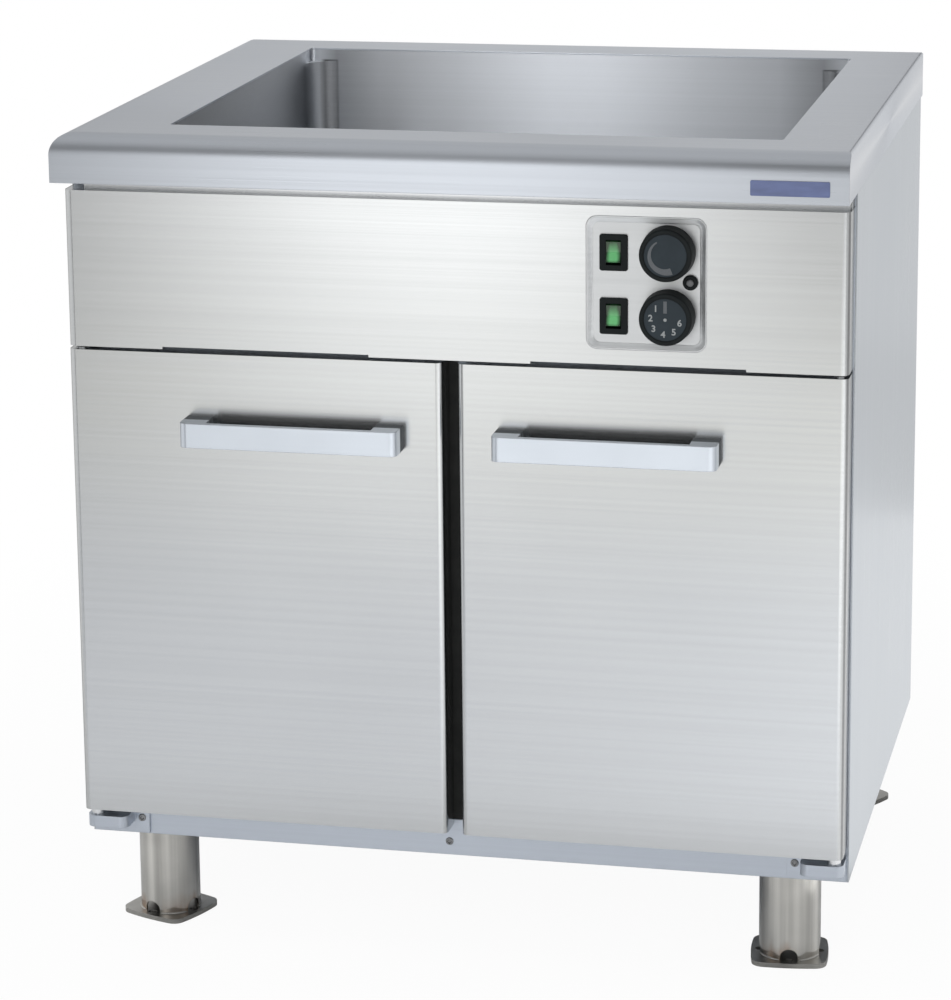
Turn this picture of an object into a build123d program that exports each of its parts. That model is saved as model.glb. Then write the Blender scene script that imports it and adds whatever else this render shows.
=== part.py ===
from build123d import *
import math
import os

# A floor-standing bain-marie: a stainless worktop with a heated water well over a heated
# cupboard with two pivot-hung doors. X runs to the right, Y to the back, Z up. The origin
# is on the floor, under the middle of the worktop. All sizes are in millimetres.

# Overall sizes
WIDTH = 800.0
DEPTH = 700.0
HEIGHT = 860.0
LEG_HEIGHT = 103.0

# Sheet thicknesses
TOP_SHEET = 2.0
PANEL_SHEET = 1.5
TANK_SHEET = 1.5
LINER_SHEET = 1.0
DOOR_SHEET = 1.2

# Worktop
NOSE_RADIUS = 22.0
LEFT_EDGE_RADIUS = 20.0
RIGHT_EDGE_RADIUS = 3.0
BACK_EDGE_RADIUS = 3.0
APRON_HEIGHT = 49.0
FRONT_LIP = 18.0
FRONT_OVERHANG = 34.0
BACK_OVERHANG = 18.0

# Well
WELL_LEFT_MARGIN = 103.0
WELL_RIGHT_MARGIN = 74.0
WELL_FRONT_MARGIN = 78.0
WELL_BACK_MARGIN = 62.0
WELL_DEPTH = 190.0
WELL_MOUTH_RADIUS = 4.0
WELL_LIP_DEPTH = 13.0
WELL_CORNER_RADIUS = 30.0
WELL_FLOOR_RADIUS = 18.0
WELL_RIM = 12.0

# Drain, overflow pipe and waste pipe
DRAIN_INSET = 72.0
DRAIN_FLANGE_RADIUS = 36.0
DRAIN_BODY_RADIUS = 24.0
DRAIN_SEAT_RADIUS = 20.0
DRAIN_SEAT_TAPER = 1.5
DRAIN_FLANGE_HEIGHT = 3.0
DRAIN_BODY_LENGTH = 34.0
DRAIN_SOCKET_LENGTH = 14.0
WASTE_RADIUS = 13.45
WASTE_WALL = 2.3
WASTE_BEND = 18.0
WASTE_THREAD_RADIUS = 13.2
WASTE_THREAD_LENGTH = 25.0
WASTE_OUTLET_DROP = 42.0
OVERFLOW_BELOW_RIM = 105.0
OVERFLOW_RADIUS = 16.0
OVERFLOW_WALL = 1.5
OVERFLOW_PLUG_LENGTH = 16.0
OVERFLOW_LOOP_WIRE = 2.0

# Heating
ELEMENT_RADIUS = 4.25
ELEMENT_MARGIN = 50.0
ELEMENT_DRAIN_GAP = 25.0
WELL_ELEMENT_PASSES = 6
CABINET_ELEMENT_PASSES = 4
TRAY_DEPTH = 36.0
TRAY_INSET = 25.0

# Cupboard carcass
FASCIA_DROP = 223.0
FASCIA_TOP_GAP = 13.0
FASCIA_TOP_FOLD = 16.0
FASCIA_EDGE_RADIUS = 8.0
FRAME_RAIL = 57.0
FRAME_STILE = 50.0
STILE_EAR = 14.0
MULLION_WIDTH = 76.0
FRAME_CORNER_RADIUS = 8.0
FOLD_DEPTH = 25.0
FRAME_FOLD = 18.0
REAR_CAVITY = 30.5
LINER_CORNER_RADIUS = 10.0
VENT_HEIGHT = 2.5
VENT_DEPTH = 15.0
VENT_LENGTH = 215.0
VENT_CENTRE = 190.0
SHELF_HEIGHT = 212.0
SHELF_SHEET = 1.2
SHELF_EDGE = 18.0
SHELF_FRONT_GAP = 35.0
SHELF_RAIL_WIDTH = 18.0

# Doors
DOOR_THICKNESS = 33.0
DOOR_INSET = 2.5
DOOR_GAP = 15.0
DOOR_TOP_GAP = 3.5
DOOR_RISE = 36.0
DOOR_EDGE_RADIUS = 7.0
GASKET_GAP = 4.0
GASKET_WIDTH = 14.0
GASKET_MARGIN = 12.0
SEAL_WIDTH = 26.0
SEAL_THICKNESS = 3.0
SEAL_RISE = 4.5
HANDLE_LENGTH = 225.0
HANDLE_HEIGHT = 25.0
HANDLE_REACH = 33.0
HANDLE_THICKNESS = 7.0
HANDLE_POST = 27.0
HANDLE_EDGE_RADIUS = 8.0
HANDLE_FROM_GAP = 40.5
HANDLE_BELOW_TOP = 77.5

# Pivot hinges
PIVOT_INSET = 10.0
PIN_RADIUS = 4.0
PIN_CLEARANCE = 0.05
PIN_ENGAGEMENT = 12.0
PIN_SHOULDER_RADIUS = 7.0
BUSH_RADIUS = 6.5
BUSH_LENGTH = 14.0
BUSH_POCKET = 1.0
BRACKET_THICKNESS = 3.0
BRACKET_LENGTH = 60.0
BRACKET_TONGUE_WIDTH = 44.0
BRACKET_TAB_HEIGHT = 27.0
BRACKET_LOW_HEIGHT = 27.0
BRACKET_SKIRT = 12.5
TONGUE_FRONT_MARGIN = 10.0
TONGUE_CORNER_RADIUS = 9.0
STOP_WIDTH = 62.0
STOP_DROP = 7.0
STOP_OVERLAP = 4.0
STOP_CORNER_RADIUS = 2.0

# Control panel: a pressed recess in the fascia
PANEL_WIDTH = 117.0
PANEL_HEIGHT = 131.0
PANEL_CORNER_RADIUS = 10.0
PANEL_FROM_END = 201.5
PANEL_BELOW_TOP = 138.5
RECESS_DEPTH = 2.5
RECESS_SLOPE = 5.5
RECESS_FLANGE = 7.0
ROW_PITCH = 63.5
SWITCH_FROM_PANEL = -32.5
SWITCH_DROP = 1.7
KNOB_FROM_PANEL = 21.5
RESET_FROM_PANEL = 43.5
RESET_RISE = 2.5

# Rocker switches
BEZEL_WIDTH = 28.0
BEZEL_HEIGHT = 36.5
BEZEL_THICKNESS = 2.5
BEZEL_CORNER_RADIUS = 2.5
BEZEL_EDGE_RADIUS = 0.8
SWITCH_BODY_WIDTH = 22.0
SWITCH_BODY_HEIGHT = 30.0
SWITCH_BODY_DEPTH = 24.0
ROCKER_WIDTH = 14.4
ROCKER_REACH = 10.0
ROCKER_PROUD = 1.5
ROCKER_DISH = 2.0
ROCKER_BULGE = 1.0
ROCKER_PIVOT_DEPTH = 5.0
ROCKER_TILT = 8.0
ROCKER_SIDE_CLEARANCE = 0.3
ROCKER_END_CLEARANCE = 0.6
TRUNNION_RADIUS = 1.5
TRUNNION_LENGTH = 1.4

# Thermostats, knobs and the over-heat reset
KNOB_RADIUS = 27.0
KNOB_TAPER = 1.0
KNOB_HEIGHT = 19.0
KNOB_WALL = 2.5
KNOB_HUB_RADIUS = 7.0
KNOB_STANDOFF = 0.8
KNOB_EDGE_RADIUS = 2.0
KNOB_FACE_RADIUS = 21.5
KNOB_DISH = 0.8
SPINDLE_RADIUS = 3.0
SPINDLE_FLAT = 1.5
THERMOSTAT_WIDTH = 40.0
THERMOSTAT_HEIGHT = 36.0
THERMOSTAT_DEPTH = 24.0
THERMOSTAT_BUSH_RADIUS = 5.0
THERMOSTAT_BUSH_PROUD = 2.0
TERMINAL_TAB = 5.0
TERMINAL_TAB_SHEET = 1.0
TERMINAL_TAB_OFFSET = 10.0
DEVICE_CORNER_RADIUS = 3.0
RESET_CAP_RADIUS = 7.5
RESET_CAP_HEIGHT = 3.5
RESET_CAP_EDGE = 1.2
RESET_NECK_RADIUS = 6.0
RESET_BODY = 22.0
RESET_BODY_DEPTH = 24.0
RESET_BORE_DEPTH = 12.0
RESET_BUTTON_RADIUS = 3.5
RESET_BUTTON_PROUD = 1.8
RESET_BUTTON_EDGE = 1.2
RESET_TRAVEL = 3.0

# Badge place, terminals and cable entry
BADGE_WIDTH = 76.5
BADGE_HEIGHT = 15.0
BADGE_THICKNESS = 1.0
BADGE_CORNER_RADIUS = 1.5
BADGE_FROM_END = 56.7
BADGE_BELOW_TOP = 34.0
GLAND_FROM_END = 140.0
GLAND_BORE_RADIUS = 6.5
GLAND_THREAD_RADIUS = 10.0
GLAND_HEX = 27.0
GLAND_LENGTH = 24.0
GLAND_HEX_HEIGHT = 8.0
GLAND_CAP_STEP = 1.5
GLAND_CAP_RADIUS = 4.0
TERMINAL_WIDTH = 90.0
TERMINAL_HEIGHT = 36.0
TERMINAL_DEPTH = 22.0
TERMINAL_WAYS = 6
TERMINAL_RIB = 5.0
TERMINAL_POCKET = 11.0

# Legs and floor flanges
LEG_RADIUS = 31.75
LEG_WALL = 2.0
LEG_SIDE_INSET = 66.0
LEG_FRONT_INSET = 53.0
LEG_BACK_INSET = 70.0
FLANGE_SIZE = 80.0
FLANGE_BULGE = 3.0
FLANGE_CORNER_RADIUS = 12.0
FLANGE_THICKNESS = 5.0
FLANGE_HOLE_RADIUS = 4.5
FLANGE_HOLE_CIRCLE = 62.0
NOTCH_WIDTH = 18.0
NOTCH_HEIGHT = 12.0

# Small clearances
FIT = 0.1
SOFT_CLEARANCE = 0.3
CLEARANCE = 3.0
MARGIN = 10.0

# Planes that several pieces share
half_width = WIDTH / 2
top_front_y = -DEPTH / 2 + BADGE_THICKNESS
top_back_y = DEPTH / 2
under_top_z = HEIGHT - TOP_SHEET
apron_z = HEIGHT - APRON_HEIGHT
door_face_y = top_front_y + FRONT_OVERHANG
door_back_y = door_face_y + DOOR_THICKNESS
frame_face_y = door_back_y + GASKET_GAP
frame_back_y = frame_face_y + PANEL_SHEET
carcass_back_y = top_back_y - BACK_OVERHANG
back_inside_y = carcass_back_y - PANEL_SHEET
side_inside_x = half_width - PANEL_SHEET
fascia_z = HEIGHT - FASCIA_DROP
fascia_top_z = apron_z - FASCIA_TOP_GAP
door_top_z = fascia_z - DOOR_TOP_GAP
door_bottom_z = LEG_HEIGHT + DOOR_RISE
door_outer_x = half_width - DOOR_INSET
door_inner_x = DOOR_GAP / 2
base_under_z = LEG_HEIGHT + PANEL_SHEET
base_top_z = base_under_z + PANEL_SHEET

# The well and what hangs below it
well_left_x = WELL_LEFT_MARGIN - half_width
well_right_x = half_width - WELL_RIGHT_MARGIN
well_front_y = top_front_y + WELL_FRONT_MARGIN
well_back_y = top_back_y - WELL_BACK_MARGIN
well_x = (well_left_x + well_right_x) / 2
well_y = (well_front_y + well_back_y) / 2
well_floor_z = HEIGHT - WELL_DEPTH
tank_under_z = well_floor_z - TANK_SHEET
drain_x = well_left_x + DRAIN_INSET
drain_y = well_back_y - DRAIN_INSET
drain_end_z = well_floor_z - DRAIN_BODY_LENGTH
drain_socket_z = drain_end_z + DRAIN_SOCKET_LENGTH
tray_bottom_z = tank_under_z - TRAY_DEPTH
waste_run_z = tray_bottom_z - CLEARANCE - WASTE_RADIUS
outlet_z = base_under_z - WASTE_OUTLET_DROP
overflow_top_z = HEIGHT - OVERFLOW_BELOW_RIM

# The heated cupboard
liner_half = half_width - FRAME_STILE
liner_floor_z = LEG_HEIGHT + FRAME_RAIL
liner_top_z = waste_run_z - WASTE_RADIUS - CLEARANCE - LINER_SHEET
liner_back_y = back_inside_y - REAR_CAVITY
rear_cavity_y = back_inside_y - (REAR_CAVITY - LINER_SHEET) / 2
frame_top_z = tank_under_z - CLEARANCE
shelf_z = liner_floor_z + SHELF_HEIGHT

# Hinge line
pivot_x = door_outer_x - PIVOT_INSET
pivot_y = door_face_y + DOOR_THICKNESS / 2
lower_tongue_z = LEG_HEIGHT + BRACKET_LOW_HEIGHT
upper_tongue_z = fascia_z + PANEL_SHEET + CLEARANCE

# Control places
panel_x = half_width - PANEL_FROM_END
panel_z = HEIGHT - PANEL_BELOW_TOP
recess_face_y = door_face_y + RECESS_DEPTH
recess_back_y = recess_face_y + PANEL_SHEET
row_z = {"upper": panel_z + ROW_PITCH / 2, "lower": panel_z - ROW_PITCH / 2}
switch_z = {row: z - SWITCH_DROP for row, z in row_z.items()}
switch_x = panel_x + SWITCH_FROM_PANEL
knob_x = panel_x + KNOB_FROM_PANEL
reset_x = panel_x + RESET_FROM_PANEL
reset_z = panel_z + RESET_RISE
bezel_face_y = recess_face_y - BEZEL_THICKNESS
rocker_pivot_y = bezel_face_y + ROCKER_PIVOT_DEPTH
knob_base_y = recess_face_y - KNOB_STANDOFF
knob_face_y = knob_base_y - KNOB_HEIGHT

# Badge and cable entry places
badge_x = half_width - BADGE_FROM_END
gland_x = half_width - GLAND_FROM_END

# Leg places, with the angle each welded foot is turned to
leg_x = half_width - LEG_SIDE_INSET
leg_front_y = frame_face_y + LEG_FRONT_INSET
leg_back_y = carcass_back_y - LEG_BACK_INSET
LEGS = {
    "front_left": (-leg_x, leg_front_y, -22.0),
    "front_right": (leg_x, leg_front_y, 6.0),
    "back_left": (-leg_x, leg_back_y, 14.0),
    "back_right": (leg_x, leg_back_y, -33.0),
}


def block(x0, x1, y0, y1, z0, z1):
    """A box between two corners."""
    centre = Pos((x0 + x1) / 2, (y0 + y1) / 2, (z0 + z1) / 2)
    return centre * Box(x1 - x0, y1 - y0, z1 - z0)


def mirrored(x0, x1, side):
    """An X interval given for the right side, moved to the asked side."""
    return (x0, x1) if side > 0 else (-x1, -x0)


def upright(outline, x, y, z0, z1):
    """A flat outline in plan, extruded upwards from z0 to z1."""
    return extrude(Pos(x, y, z0) * outline, z1 - z0, dir=(0, 0, 1))


def facing(outline, x, z, y_front, y_back):
    """An outline seen from the front, extruded from y_back forward to y_front."""
    plane = Plane(origin=(x, y_back, z), x_dir=(1, 0, 0), z_dir=(0, -1, 0))
    return extrude(plane * outline, y_back - y_front)


def rod(x, y, z0, z1, radius):
    """A round bar that stands up."""
    return Pos(x, y, (z0 + z1) / 2) * Cylinder(radius, z1 - z0)


def reaching(x, z, y_front, y_back, radius):
    """A round bar that lies front to back."""
    return Pos(x, (y_front + y_back) / 2, z) * Rot(90, 0, 0) * Cylinder(radius, y_back - y_front)


def group(*solids):
    """Separate solids kept in one node."""
    return Compound(children=list(solids))


def top_form(inset, bottom_z):
    """The worktop's rounded outer form, moved inwards by inset: the front and back
    rounding of one bar and the side rounding of another, where the two overlap.
    The left edge is rolled like the front nose, the right edge is a tight fold."""
    x = half_width - inset
    y0, y1, z1 = top_front_y + inset, top_back_y - inset, HEIGHT - inset
    long_bar = block(-x, x, y0, y1, bottom_z, z1)
    ridges = long_bar.edges().filter_by(Axis.X).group_by(Axis.Z)[-1].sort_by(Axis.Y)
    long_bar = fillet(ridges[0], NOSE_RADIUS - inset)
    ridge = long_bar.edges().filter_by(Axis.X).group_by(Axis.Z)[-1].sort_by(Axis.Y)[-1]
    long_bar = fillet(ridge, BACK_EDGE_RADIUS - inset)
    cross_bar = block(-x, x, y0, y1, bottom_z, z1)
    ridges = cross_bar.edges().filter_by(Axis.Y).group_by(Axis.Z)[-1].sort_by(Axis.X)
    cross_bar = fillet(ridges[0], LEFT_EDGE_RADIUS - inset)
    ridge = cross_bar.edges().filter_by(Axis.Y).group_by(Axis.Z)[-1].sort_by(Axis.X)[-1]
    cross_bar = fillet(ridge, RIGHT_EDGE_RADIUS - inset)
    return long_bar & cross_bar


def well_outline(grow, radius):
    """The well in plan, with corners of a radius, grown outwards on all sides."""
    width = well_right_x - well_left_x + 2 * grow
    length = well_back_y - well_front_y + 2 * grow
    return RectangleRounded(width, length, radius + grow)


def make_worktop():
    """One folded top: rolled front nose and left edge, aprons, lips and the well opening."""
    top = top_form(0, apron_z) - top_form(TOP_SHEET, apron_z - MARGIN)
    inner_x = half_width - TOP_SHEET
    lip_top = apron_z + TOP_SHEET
    front_inside = top_front_y + TOP_SHEET
    top += block(-inner_x, inner_x, front_inside, top_front_y + FRONT_LIP, apron_z, lip_top)
    top += block(-inner_x, inner_x, carcass_back_y, top_back_y - TOP_SHEET, apron_z, lip_top)
    mouth = well_outline(0, WELL_MOUTH_RADIUS)
    return top - upright(mouth, well_x, well_y, apron_z, HEIGHT + MARGIN)


def well_space(grow, bottom_z):
    """The well's hollow up to the worktop's underside, grown by the sheet for its outside: a
    rounded floor edge, round upright corners, and a sharp-cornered lip with a web below it."""
    web_z = under_top_z - WELL_LIP_DEPTH - grow
    round_outline = well_outline(grow, WELL_CORNER_RADIUS)
    space = upright(round_outline, well_x, well_y, bottom_z, web_z)
    floor_edges = space.edges().group_by(Axis.Z)[0]
    space = fillet(floor_edges, WELL_FLOOR_RADIUS + grow)
    sharp_outline = well_outline(grow, WELL_MOUTH_RADIUS)
    return space + upright(sharp_outline, well_x, well_y, web_z, under_top_z)


def make_well_tank():
    """The pressed tank, welded under the worktop by its rim."""
    tank = well_space(TANK_SHEET, tank_under_z)
    rim_outline = well_outline(TANK_SHEET + WELL_RIM, WELL_MOUTH_RADIUS)
    tank += upright(rim_outline, well_x, well_y, under_top_z - TANK_SHEET, under_top_z)
    tank -= well_space(0, well_floor_z)
    hole_radius = DRAIN_BODY_RADIUS + FIT
    return tank - rod(drain_x, drain_y, tank_under_z - MARGIN, well_floor_z + MARGIN, hole_radius)


def make_drain_fitting():
    """Flanged drain with a tapered seat for the overflow pipe and a socket for the waste pipe."""
    seat_top = well_floor_z + DRAIN_FLANGE_HEIGHT
    fitting = rod(drain_x, drain_y, well_floor_z, seat_top, DRAIN_FLANGE_RADIUS)
    fitting += rod(drain_x, drain_y, drain_end_z, well_floor_z, DRAIN_BODY_RADIUS)
    seat_bottom_radius = DRAIN_SEAT_RADIUS - DRAIN_SEAT_TAPER
    seat_length = seat_top - drain_socket_z
    seat = Pos(drain_x, drain_y, (seat_top + drain_socket_z) / 2)
    fitting -= seat * Cone(seat_bottom_radius, DRAIN_SEAT_RADIUS, seat_length)
    socket_radius = WASTE_RADIUS + FIT
    return fitting - rod(drain_x, drain_y, drain_end_z - MARGIN, drain_socket_z, socket_radius)


def waste_tube(radius):
    """The waste pipe's route at a radius: down, back under the tray, then down the rear cavity."""
    route = FilletPolyline(
        (drain_x, drain_y, drain_socket_z),
        (drain_x, drain_y, waste_run_z),
        (drain_x, rear_cavity_y, waste_run_z),
        (drain_x, rear_cavity_y, outlet_z),
        radius=WASTE_BEND,
    )
    return sweep(Plane(origin=route @ 0, z_dir=route % 0) * Circle(radius), path=route)


def make_drain_pipe():
    """Waste pipe with a threaded tail below the base."""
    pipe = waste_tube(WASTE_RADIUS) - waste_tube(WASTE_RADIUS - WASTE_WALL)
    thread_top = outlet_z + WASTE_THREAD_LENGTH
    sleeve = rod(drain_x, rear_cavity_y, outlet_z - MARGIN, thread_top, WASTE_RADIUS + MARGIN)
    sleeve -= rod(drain_x, rear_cavity_y, outlet_z - MARGIN, thread_top, WASTE_THREAD_RADIUS)
    return pipe - sleeve


def make_standpipe():
    """Lift-out overflow pipe: tapered plug, tube and a wire lifting loop."""
    seat_top = well_floor_z + DRAIN_FLANGE_HEIGHT
    plug_bottom = seat_top - OVERFLOW_PLUG_LENGTH
    slope = DRAIN_SEAT_TAPER / (seat_top - drain_socket_z)
    top_radius = DRAIN_SEAT_RADIUS - SOFT_CLEARANCE
    bottom_radius = top_radius - slope * OVERFLOW_PLUG_LENGTH
    plug = Pos(drain_x, drain_y, (plug_bottom + seat_top) / 2)
    pipe = plug * Cone(bottom_radius, top_radius, OVERFLOW_PLUG_LENGTH)
    pipe += rod(drain_x, drain_y, seat_top, overflow_top_z, OVERFLOW_RADIUS)
    bore = OVERFLOW_RADIUS - OVERFLOW_WALL
    pipe -= rod(drain_x, drain_y, plug_bottom - MARGIN, overflow_top_z + MARGIN, bore)
    loop_radius = OVERFLOW_RADIUS - OVERFLOW_WALL / 2
    bow = Plane(origin=(drain_x, drain_y, overflow_top_z), x_dir=(1, 0, 0), z_dir=(0, -1, 0))
    arc = bow * CenterArc((0, 0), loop_radius, 0, 180)
    wire = sweep(Plane(origin=arc @ 0, z_dir=arc % 0) * Circle(OVERFLOW_LOOP_WIRE), path=arc)
    pipe += wire
    for side in (-1, 1):
        foot_x = drain_x + side * loop_radius
        pipe += rod(foot_x, drain_y, overflow_top_z - MARGIN, overflow_top_z, OVERFLOW_LOOP_WIRE)
    return pipe


def serpentine(x0, x1, y0, y1, z, passes):
    """A tubular heating element: straight passes along X joined by round bends."""
    pitch = (y1 - y0) / (passes - 1)
    points = []
    for i in range(passes):
        ends = (x1, x0) if i % 2 == 0 else (x0, x1)
        points += [(ends[0], y0 + i * pitch, z), (ends[1], y0 + i * pitch, z)]
    route = FilletPolyline(*points, radius=pitch / 2 - FIT)
    return sweep(Plane(origin=route @ 0, z_dir=route % 0) * Circle(ELEMENT_RADIUS), path=route)


def make_well_heater():
    """The well's element, under the tank's floor and in front of the drain."""
    z = tank_under_z - SOFT_CLEARANCE - ELEMENT_RADIUS
    x0, x1 = well_left_x + ELEMENT_MARGIN, well_right_x - ELEMENT_MARGIN
    y1 = drain_y - DRAIN_BODY_RADIUS - ELEMENT_DRAIN_GAP
    return serpentine(x0, x1, well_front_y + ELEMENT_MARGIN, y1, z, WELL_ELEMENT_PASSES)


def make_cabinet_heater():
    """The cupboard's element, under the liner's floor."""
    z = liner_floor_z - LINER_SHEET - SOFT_CLEARANCE - ELEMENT_RADIUS
    x = liner_half - ELEMENT_MARGIN
    y0, y1 = frame_back_y + 2 * ELEMENT_MARGIN, liner_back_y - 2 * ELEMENT_MARGIN
    return serpentine(-x, x, y0, y1, z, CABINET_ELEMENT_PASSES)


def tray_box(inset, z0, z1):
    """A box under the tank's floor, moved inwards from the tray's outside by inset."""
    x0, x1 = well_left_x + TRAY_INSET + inset, well_right_x - TRAY_INSET - inset
    y0, y1 = well_front_y + TRAY_INSET + inset, well_back_y - TRAY_INSET - inset
    return block(x0, x1, y0, y1, z0, z1)


def make_insulation_tray():
    """The pan that holds the element and its insulation against the tank."""
    tray = tray_box(0, tray_bottom_z, tank_under_z)
    tray -= tray_box(LINER_SHEET, tray_bottom_z + LINER_SHEET, tank_under_z + MARGIN)
    hole = rod(drain_x, drain_y, tray_bottom_z - MARGIN, tank_under_z, DRAIN_BODY_RADIUS + CLEARANCE)
    return tray - hole


def make_insulation():
    """Mineral-wool slabs: in the tray, beside the cupboard, behind it and below its element."""
    element_room = 2 * (ELEMENT_RADIUS + SOFT_CLEARANCE)
    wool = tray_box(LINER_SHEET, tray_bottom_z + LINER_SHEET, tank_under_z - element_room)
    wool -= rod(drain_x, drain_y, tray_bottom_z - MARGIN, tank_under_z, DRAIN_BODY_RADIUS + CLEARANCE)
    slabs = [wool]
    y0, y1 = frame_back_y + FOLD_DEPTH + SOFT_CLEARANCE, liner_back_y
    x0, x1 = liner_half + LINER_SHEET, side_inside_x
    for side in (-1, 1):
        slabs.append(block(*mirrored(x0, x1, side), y0, y1, liner_floor_z, liner_top_z))
    waste_side = drain_x + WASTE_RADIUS + MARGIN
    terminal_z = liner_floor_z + TERMINAL_HEIGHT + 2 * MARGIN
    rear_y0 = liner_back_y + LINER_SHEET
    slabs.append(block(waste_side, liner_half, rear_y0, back_inside_y, terminal_z, liner_top_z))
    floor_top = liner_floor_z - LINER_SHEET - element_room
    floor_back = rear_cavity_y - GLAND_HEX
    slabs.append(block(-liner_half, liner_half, y0, floor_back, base_top_z, floor_top))
    return group(*slabs)


def make_side_panel(side):
    """Outer side sheet, flush with the worktop's apron, with folds along its top and bottom."""
    sheet = mirrored(side_inside_x, half_width, side)
    panel = block(*sheet, frame_face_y, carcass_back_y, LEG_HEIGHT, apron_z)
    fold = mirrored(half_width - FOLD_DEPTH, side_inside_x, side)
    panel += block(*fold, frame_back_y, back_inside_y, LEG_HEIGHT, base_under_z)
    panel += block(*fold, frame_back_y, back_inside_y, apron_z - PANEL_SHEET, apron_z)
    return panel


def under_top_corner(side):
    """The corner above the apron's edge that the worktop's rolled side takes from a piece under it."""
    corner = mirrored(half_width - LEFT_EDGE_RADIUS, half_width, side)
    return block(*corner, top_front_y, top_back_y, apron_z, HEIGHT)


def make_back_panel():
    """Back sheet, up to the worktop's underside, with its top corners cut away."""
    panel = block(-side_inside_x, side_inside_x, back_inside_y, carcass_back_y, LEG_HEIGHT, under_top_z)
    return panel - under_top_corner(-1) - under_top_corner(1)


def make_bottom_panel():
    """Base sheet on the folds, with holes for the waste pipe and the cable gland."""
    base = block(-side_inside_x, side_inside_x, frame_back_y, back_inside_y, base_under_z, base_top_z)
    z0, z1 = base_under_z - MARGIN, base_top_z + MARGIN
    base -= rod(drain_x, rear_cavity_y, z0, z1, WASTE_RADIUS + FIT)
    return base - rod(gland_x, rear_cavity_y, z0, z1, GLAND_THREAD_RADIUS + FIT)


def make_front_frame():
    """Face frame: rails, stiles and a middle post round two door openings, with folded edges.
    A narrow ear of each stile runs on up behind the fascia's end to the side panel's top."""
    plate = block(-side_inside_x, side_inside_x, frame_face_y, frame_back_y, LEG_HEIGHT, frame_top_z)
    post = MULLION_WIDTH / 2
    width, height = liner_half - post, liner_top_z - liner_floor_z
    hole = RectangleRounded(width, height, FRAME_CORNER_RADIUS)
    for side in (-1, 1):
        middle_x, middle_z = side * (liner_half + post) / 2, (liner_floor_z + liner_top_z) / 2
        plate -= facing(hole, middle_x, middle_z, frame_face_y - MARGIN, frame_back_y + MARGIN)
        cheek = mirrored(post - PANEL_SHEET, post, side)
        plate += block(*cheek, frame_face_y, frame_back_y + FOLD_DEPTH, liner_floor_z, liner_top_z)
        ear = mirrored(side_inside_x - STILE_EAR, side_inside_x, side)
        plate += block(*ear, frame_face_y, frame_back_y, frame_top_z, apron_z)
    inner_x = half_width - FOLD_DEPTH - PANEL_SHEET
    plate += block(-inner_x, inner_x, frame_face_y, frame_back_y + FRAME_FOLD, LEG_HEIGHT, base_under_z)
    return plate


def make_liner():
    """The heated cupboard's inner box, open at the front, with rounded back corners."""
    def box(grow, front_y):
        room = block(-liner_half - grow, liner_half + grow, front_y, liner_back_y + grow,
                     liner_floor_z - grow, liner_top_z + grow)
        corners = room.edges().filter_by(Axis.Z).group_by(Axis.Y)[-1]
        return fillet(corners, LINER_CORNER_RADIUS + grow)
    return box(LINER_SHEET, frame_back_y) - box(0, frame_back_y - MARGIN)


def make_shelf():
    """A loose sheet shelf with turned-down front and back edges."""
    x = liner_half - CLEARANCE
    y0, y1 = frame_back_y + SHELF_FRONT_GAP, liner_back_y - LINER_CORNER_RADIUS
    shelf = block(-x, x, y0, y1, shelf_z, shelf_z + SHELF_SHEET)
    x_fold = liner_half - SHELF_RAIL_WIDTH - CLEARANCE
    shelf += block(-x_fold, x_fold, y0, y0 + SHELF_SHEET, shelf_z - SHELF_EDGE, shelf_z)
    return shelf + block(-x_fold, x_fold, y1 - SHELF_SHEET, y1, shelf_z - SHELF_EDGE, shelf_z)


def make_shelf_rails():
    """Two angle rails welded to the liner's sides, which carry the shelf."""
    y0, y1 = frame_back_y + SHELF_FRONT_GAP, liner_back_y - LINER_CORNER_RADIUS
    rails = []
    for side in (-1, 1):
        ledge = mirrored(liner_half - SHELF_RAIL_WIDTH, liner_half, side)
        web = mirrored(liner_half - PANEL_SHEET, liner_half, side)
        rail = block(*ledge, y0, y1, shelf_z - PANEL_SHEET, shelf_z)
        rails.append(rail + block(*web, y0, y1, shelf_z - SHELF_RAIL_WIDTH, shelf_z - PANEL_SHEET))
    return group(*rails)


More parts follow.
